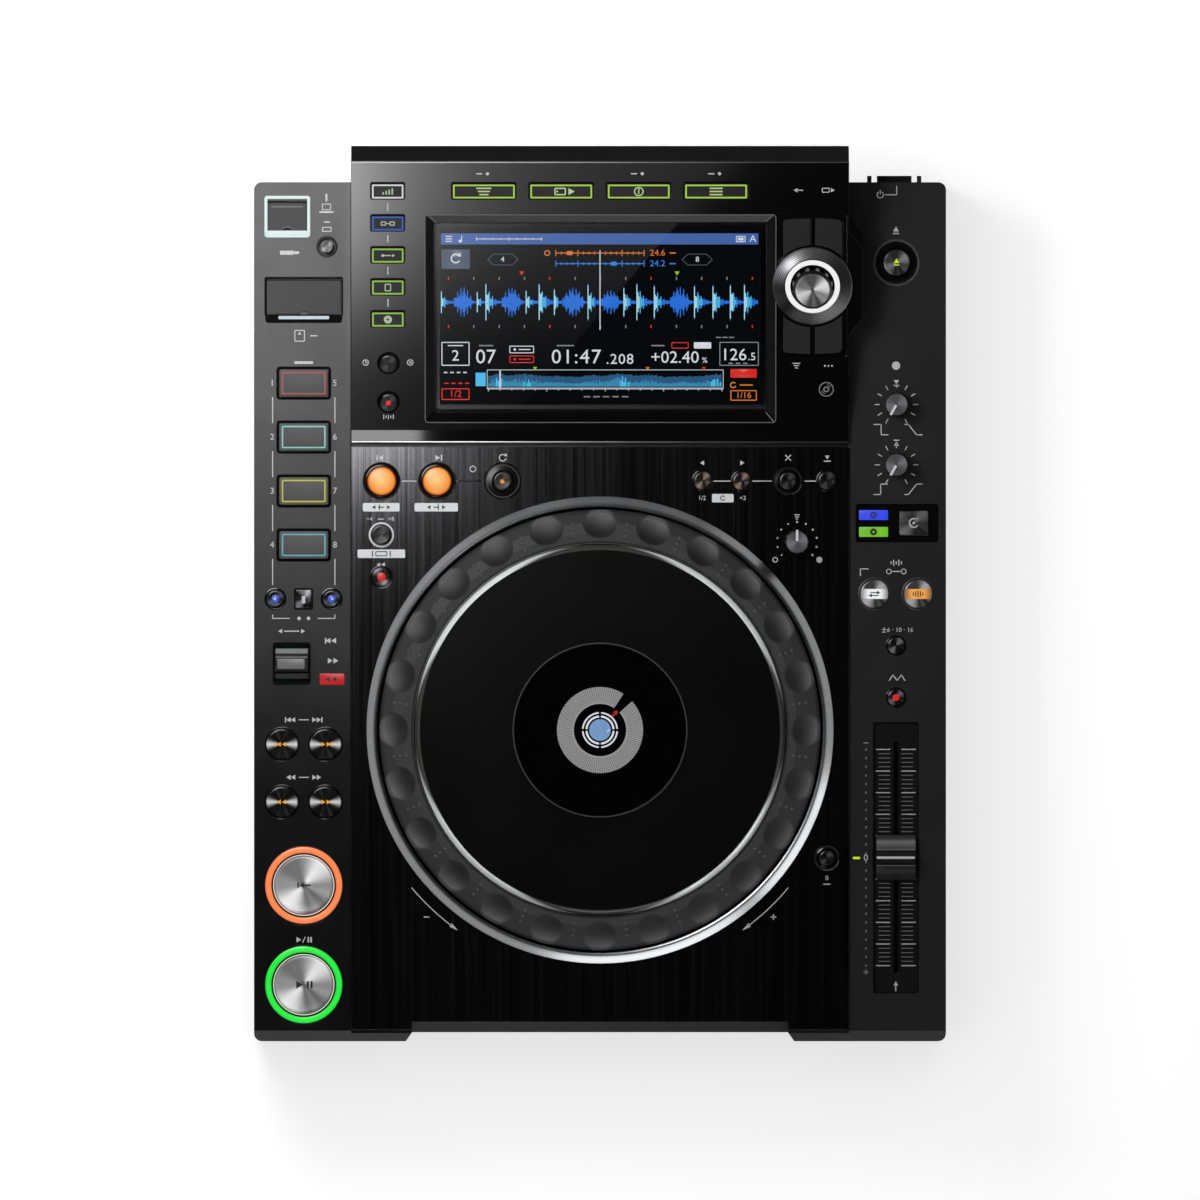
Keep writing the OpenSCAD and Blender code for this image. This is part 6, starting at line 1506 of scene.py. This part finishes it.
def rearPrints():
    # signs over the sockets: network, data stick, remote start, digital, left and right
    bm, draw = pen(rearSeat, 0.0, 0.08)
    z = 60.5
    for dx, dz in ((-2.4, -1.0), (2.4, -1.0), (0.0, 1.6)):
        draw((frameLine, rear["lan"][0] + dx, z + dz, (2.0, 1.6), 0.35, 0.2))
    draw((plate, rear["lan"][0], z + 0.3, (4.8, 0.35)), (plate, rear["usb"][0] - 1.0, z, (3.0, 2.2), 0.3),
         (frameLine, rear["usb"][0] + 1.6, z, (1.8, 1.6), 0.35, 0.1), (wedge, rear["jack"][0], z, 1.3),
         (band, rear["coax"][0], z, 1.5, 1.9, 0, 360, 28), (disc, rear["coax"][0], z, 0.5, 14))
    wedge(bm, 1.3, rearSeat(rear["left"][0], z, 0, 180), 0.08)
    draw((wedge, rear["right"][0], z, 1.3))
    path(bm, [(60.0, 61.6), (60.0, 63.4), (90.0, 63.4), (90.0, 61.6)], 0.4, rearSeat(0, 0), 0.08)
    draw((plate, 4.0, 48.0, (0.5, 5.0)), (plate, -21.0, 48.0, (0.5, 5.0)))
    piece(bm, "prints_rear", "case", inkGrey)
    bm = fresh()  # screw heads along the panel, each with a cross recess
    slots = fresh()
    for x, y in ((-108.0, 38.0), (-100.0, 66.0), (-50.0, 36.0), (-22.0, 36.0), (31.0, 36.0), (66.0, 38.0),
                 (108.0, 70.0)):
        turned(bm, [(0, 0.75), (1.6, 0.7), (2.4, 0.45), (2.7, -0.1)], rearSeat(x, y), 32)
        plate(slots, (2.4, 0.5), rearSeat(x, y, 0.7), 0.09)
        plate(slots, (0.5, 2.4), rearSeat(x, y, 0.7), 0.09)
    piece(bm, "rear_screws", "case", polished("blackScrew", "#3a3b3d", rough=0.3))
    piece(slots, "rear_slots", "case", inkDark)


rearSockets()
rearPrints()
print("rear panel")


# stage, light and camera
look = {"height": 0.084, "shiftY": -0.0028, "away": 20.0, "across": 0.5549, "sensor": 36.0}


def floor():
    bm = fresh()
    quad = bmesh.ops.create_grid(bm, x_segments=1, y_segments=1, size=20)["verts"]
    bmesh.ops.translate(bm, vec=(0, 0, -0.0002), verts=quad)
    mesh = bpy.data.meshes.new("floor")
    bm.to_mesh(mesh)
    bm.free()
    p = Paint("paperFloor")  # pale matt sheet: white to the eye and in mirrors, with the soft shadow kept
    p.set(Base_Color=(0.62, 0.62, 0.62, 1), Roughness=1.0, Specular_IOR_Level=0.0)
    rays = p.node("ShaderNodeLightPath").outputs
    seen = (Signal(p, rays["Is Camera Ray"]) + Signal(p, rays["Is Glossy Ray"])
            + Signal(p, rays["Is Transmission Ray"])).clamped()
    p.set(Emission_Color=p.blend(seen, (0, 0, 0, 1), shade("#ffffff", 0.64)), Emission_Strength=1.0)
    clear = p.node("ShaderNodeBsdfTransparent").outputs[0]
    back = p.node("ShaderNodeNewGeometry").outputs["Backfacing"]
    mix = p.node("ShaderNodeMixShader", None, {0: back, 1: p.surface.outputs[0], 2: clear})
    p.tree.links.new(mix.outputs[0], p.output.inputs["Surface"])
    mesh.materials.append(p.material)
    made = bpy.data.objects.new("floor", mesh)
    bpy.context.scene.collection.objects.link(made)


def softbox(name, at, aim, size, radiance, glossy=True, diffuse=True):
    lamp = bpy.data.lights.new(name, "AREA")
    lamp.shape, lamp.size, lamp.size_y = "RECTANGLE", size[0], size[1]
    lamp.energy = radiance * math.pi * size[0] * size[1]
    made = bpy.data.objects.new(name, lamp)
    made.location = at
    made.rotation_euler = (Vector(aim) - Vector(at)).to_track_quat("-Z", "Y").to_euler()
    made.visible_camera, made.visible_glossy, made.visible_diffuse = False, glossy, diffuse
    bpy.context.scene.collection.objects.link(made)


def surroundings():
    world = bpy.data.worlds.new("studio")
    bpy.context.scene.world = world
    world.use_nodes = True
    tree = world.node_tree
    back = tree.nodes["Background"]
    coords = tree.nodes.new("ShaderNodeTexCoord")
    split = tree.nodes.new("ShaderNodeSeparateXYZ")
    tree.links.new(coords.outputs["Generated"], split.inputs[0])
    ramp = tree.nodes.new("ShaderNodeValToRGB")  # white walls under a dark ceiling
    tree.links.new(split.outputs["Z"], ramp.inputs[0])
    stops = ramp.color_ramp.elements
    stops[0].position, stops[0].color = 0.1, (1, 1, 1, 1)
    stops[1].position, stops[1].color = 0.62, (0.012, 0.012, 0.012, 1)
    middle = stops.new(0.22)
    middle.color = (0.28, 0.28, 0.28, 1)
    tree.links.new(ramp.outputs[0], back.inputs[0])


def reflectionCard():
    bm = fresh()  # seen only in the pod's polished slope: a window of light with a slanted end
    corners = [(-0.34, -0.79), (0.14, -0.79), (0.049, -0.916), (-0.022, -1.012), (-0.1, -1.113),
               (-0.34, -1.113)]
    bmesh.ops.contextual_create(bm, geom=[bm.verts.new((x, y, 2.0)) for x, y in corners])
    mesh = bpy.data.meshes.new("reflection_card")
    bm.to_mesh(mesh)
    bm.free()
    p = Paint("cardLight")
    x, y, z = p.axes()
    up = y.step(-1.063, -0.893)
    across = ((x * -30 - 3.6).maths("EXPONENT").maths("MINIMUM", 1.4) * 6.9 + 0.47)
    glow = p.node("ShaderNodeEmission", None, {"Color": (1, 1, 1, 1), "Strength": (up * up + 0.05) * across})
    p.tree.links.new(glow.outputs[0], p.output.inputs["Surface"])
    p.tree.nodes.remove(p.surface)
    mesh.materials.append(p.material)
    made = bpy.data.objects.new("reflection_card", mesh)
    made.visible_camera = made.visible_diffuse = made.visible_shadow = made.visible_transmission = False
    bpy.context.scene.collection.objects.link(made)


floor()
surroundings()
reflectionCard()
softbox("keyLight", (-0.27, 0.29, 0.60), (-0.27, 0.29, 0.0), (0.34, 0.30), 9.5)
softbox("cornerLight", (-0.15, 0.11, 0.60), (-0.15, 0.11, 0.0), (0.13, 0.10), 7.0, diffuse=False)
softbox("fillLight", (0.0, 0.0, 1.6), (0, 0, 0), (1.6, 1.6), 1.6, glossy=False)
softbox("frontLight", (0.24, -1.15, 0.34), (0, -0.1, 0.09), (1.0, 0.32), 1.7, diffuse=False)
softbox("rightLight", (0.88, -0.55, 0.34), (0, -0.06, 0.09), (0.6, 0.28), 1.7, diffuse=False)
view = bpy.data.cameras.new("view")
view.sensor_width, view.lens = look["sensor"], look["sensor"] * look["away"] / look["across"]
view.clip_start, view.clip_end = 1.0, 50.0
eye = bpy.data.objects.new("view", view)
eye.location = (0.0, look["shiftY"], look["height"] + look["away"])
bpy.context.scene.collection.objects.link(eye)
bpy.context.scene.camera = eye
bpy.context.scene.view_settings.view_transform = "Standard"
print("stage, light and camera")
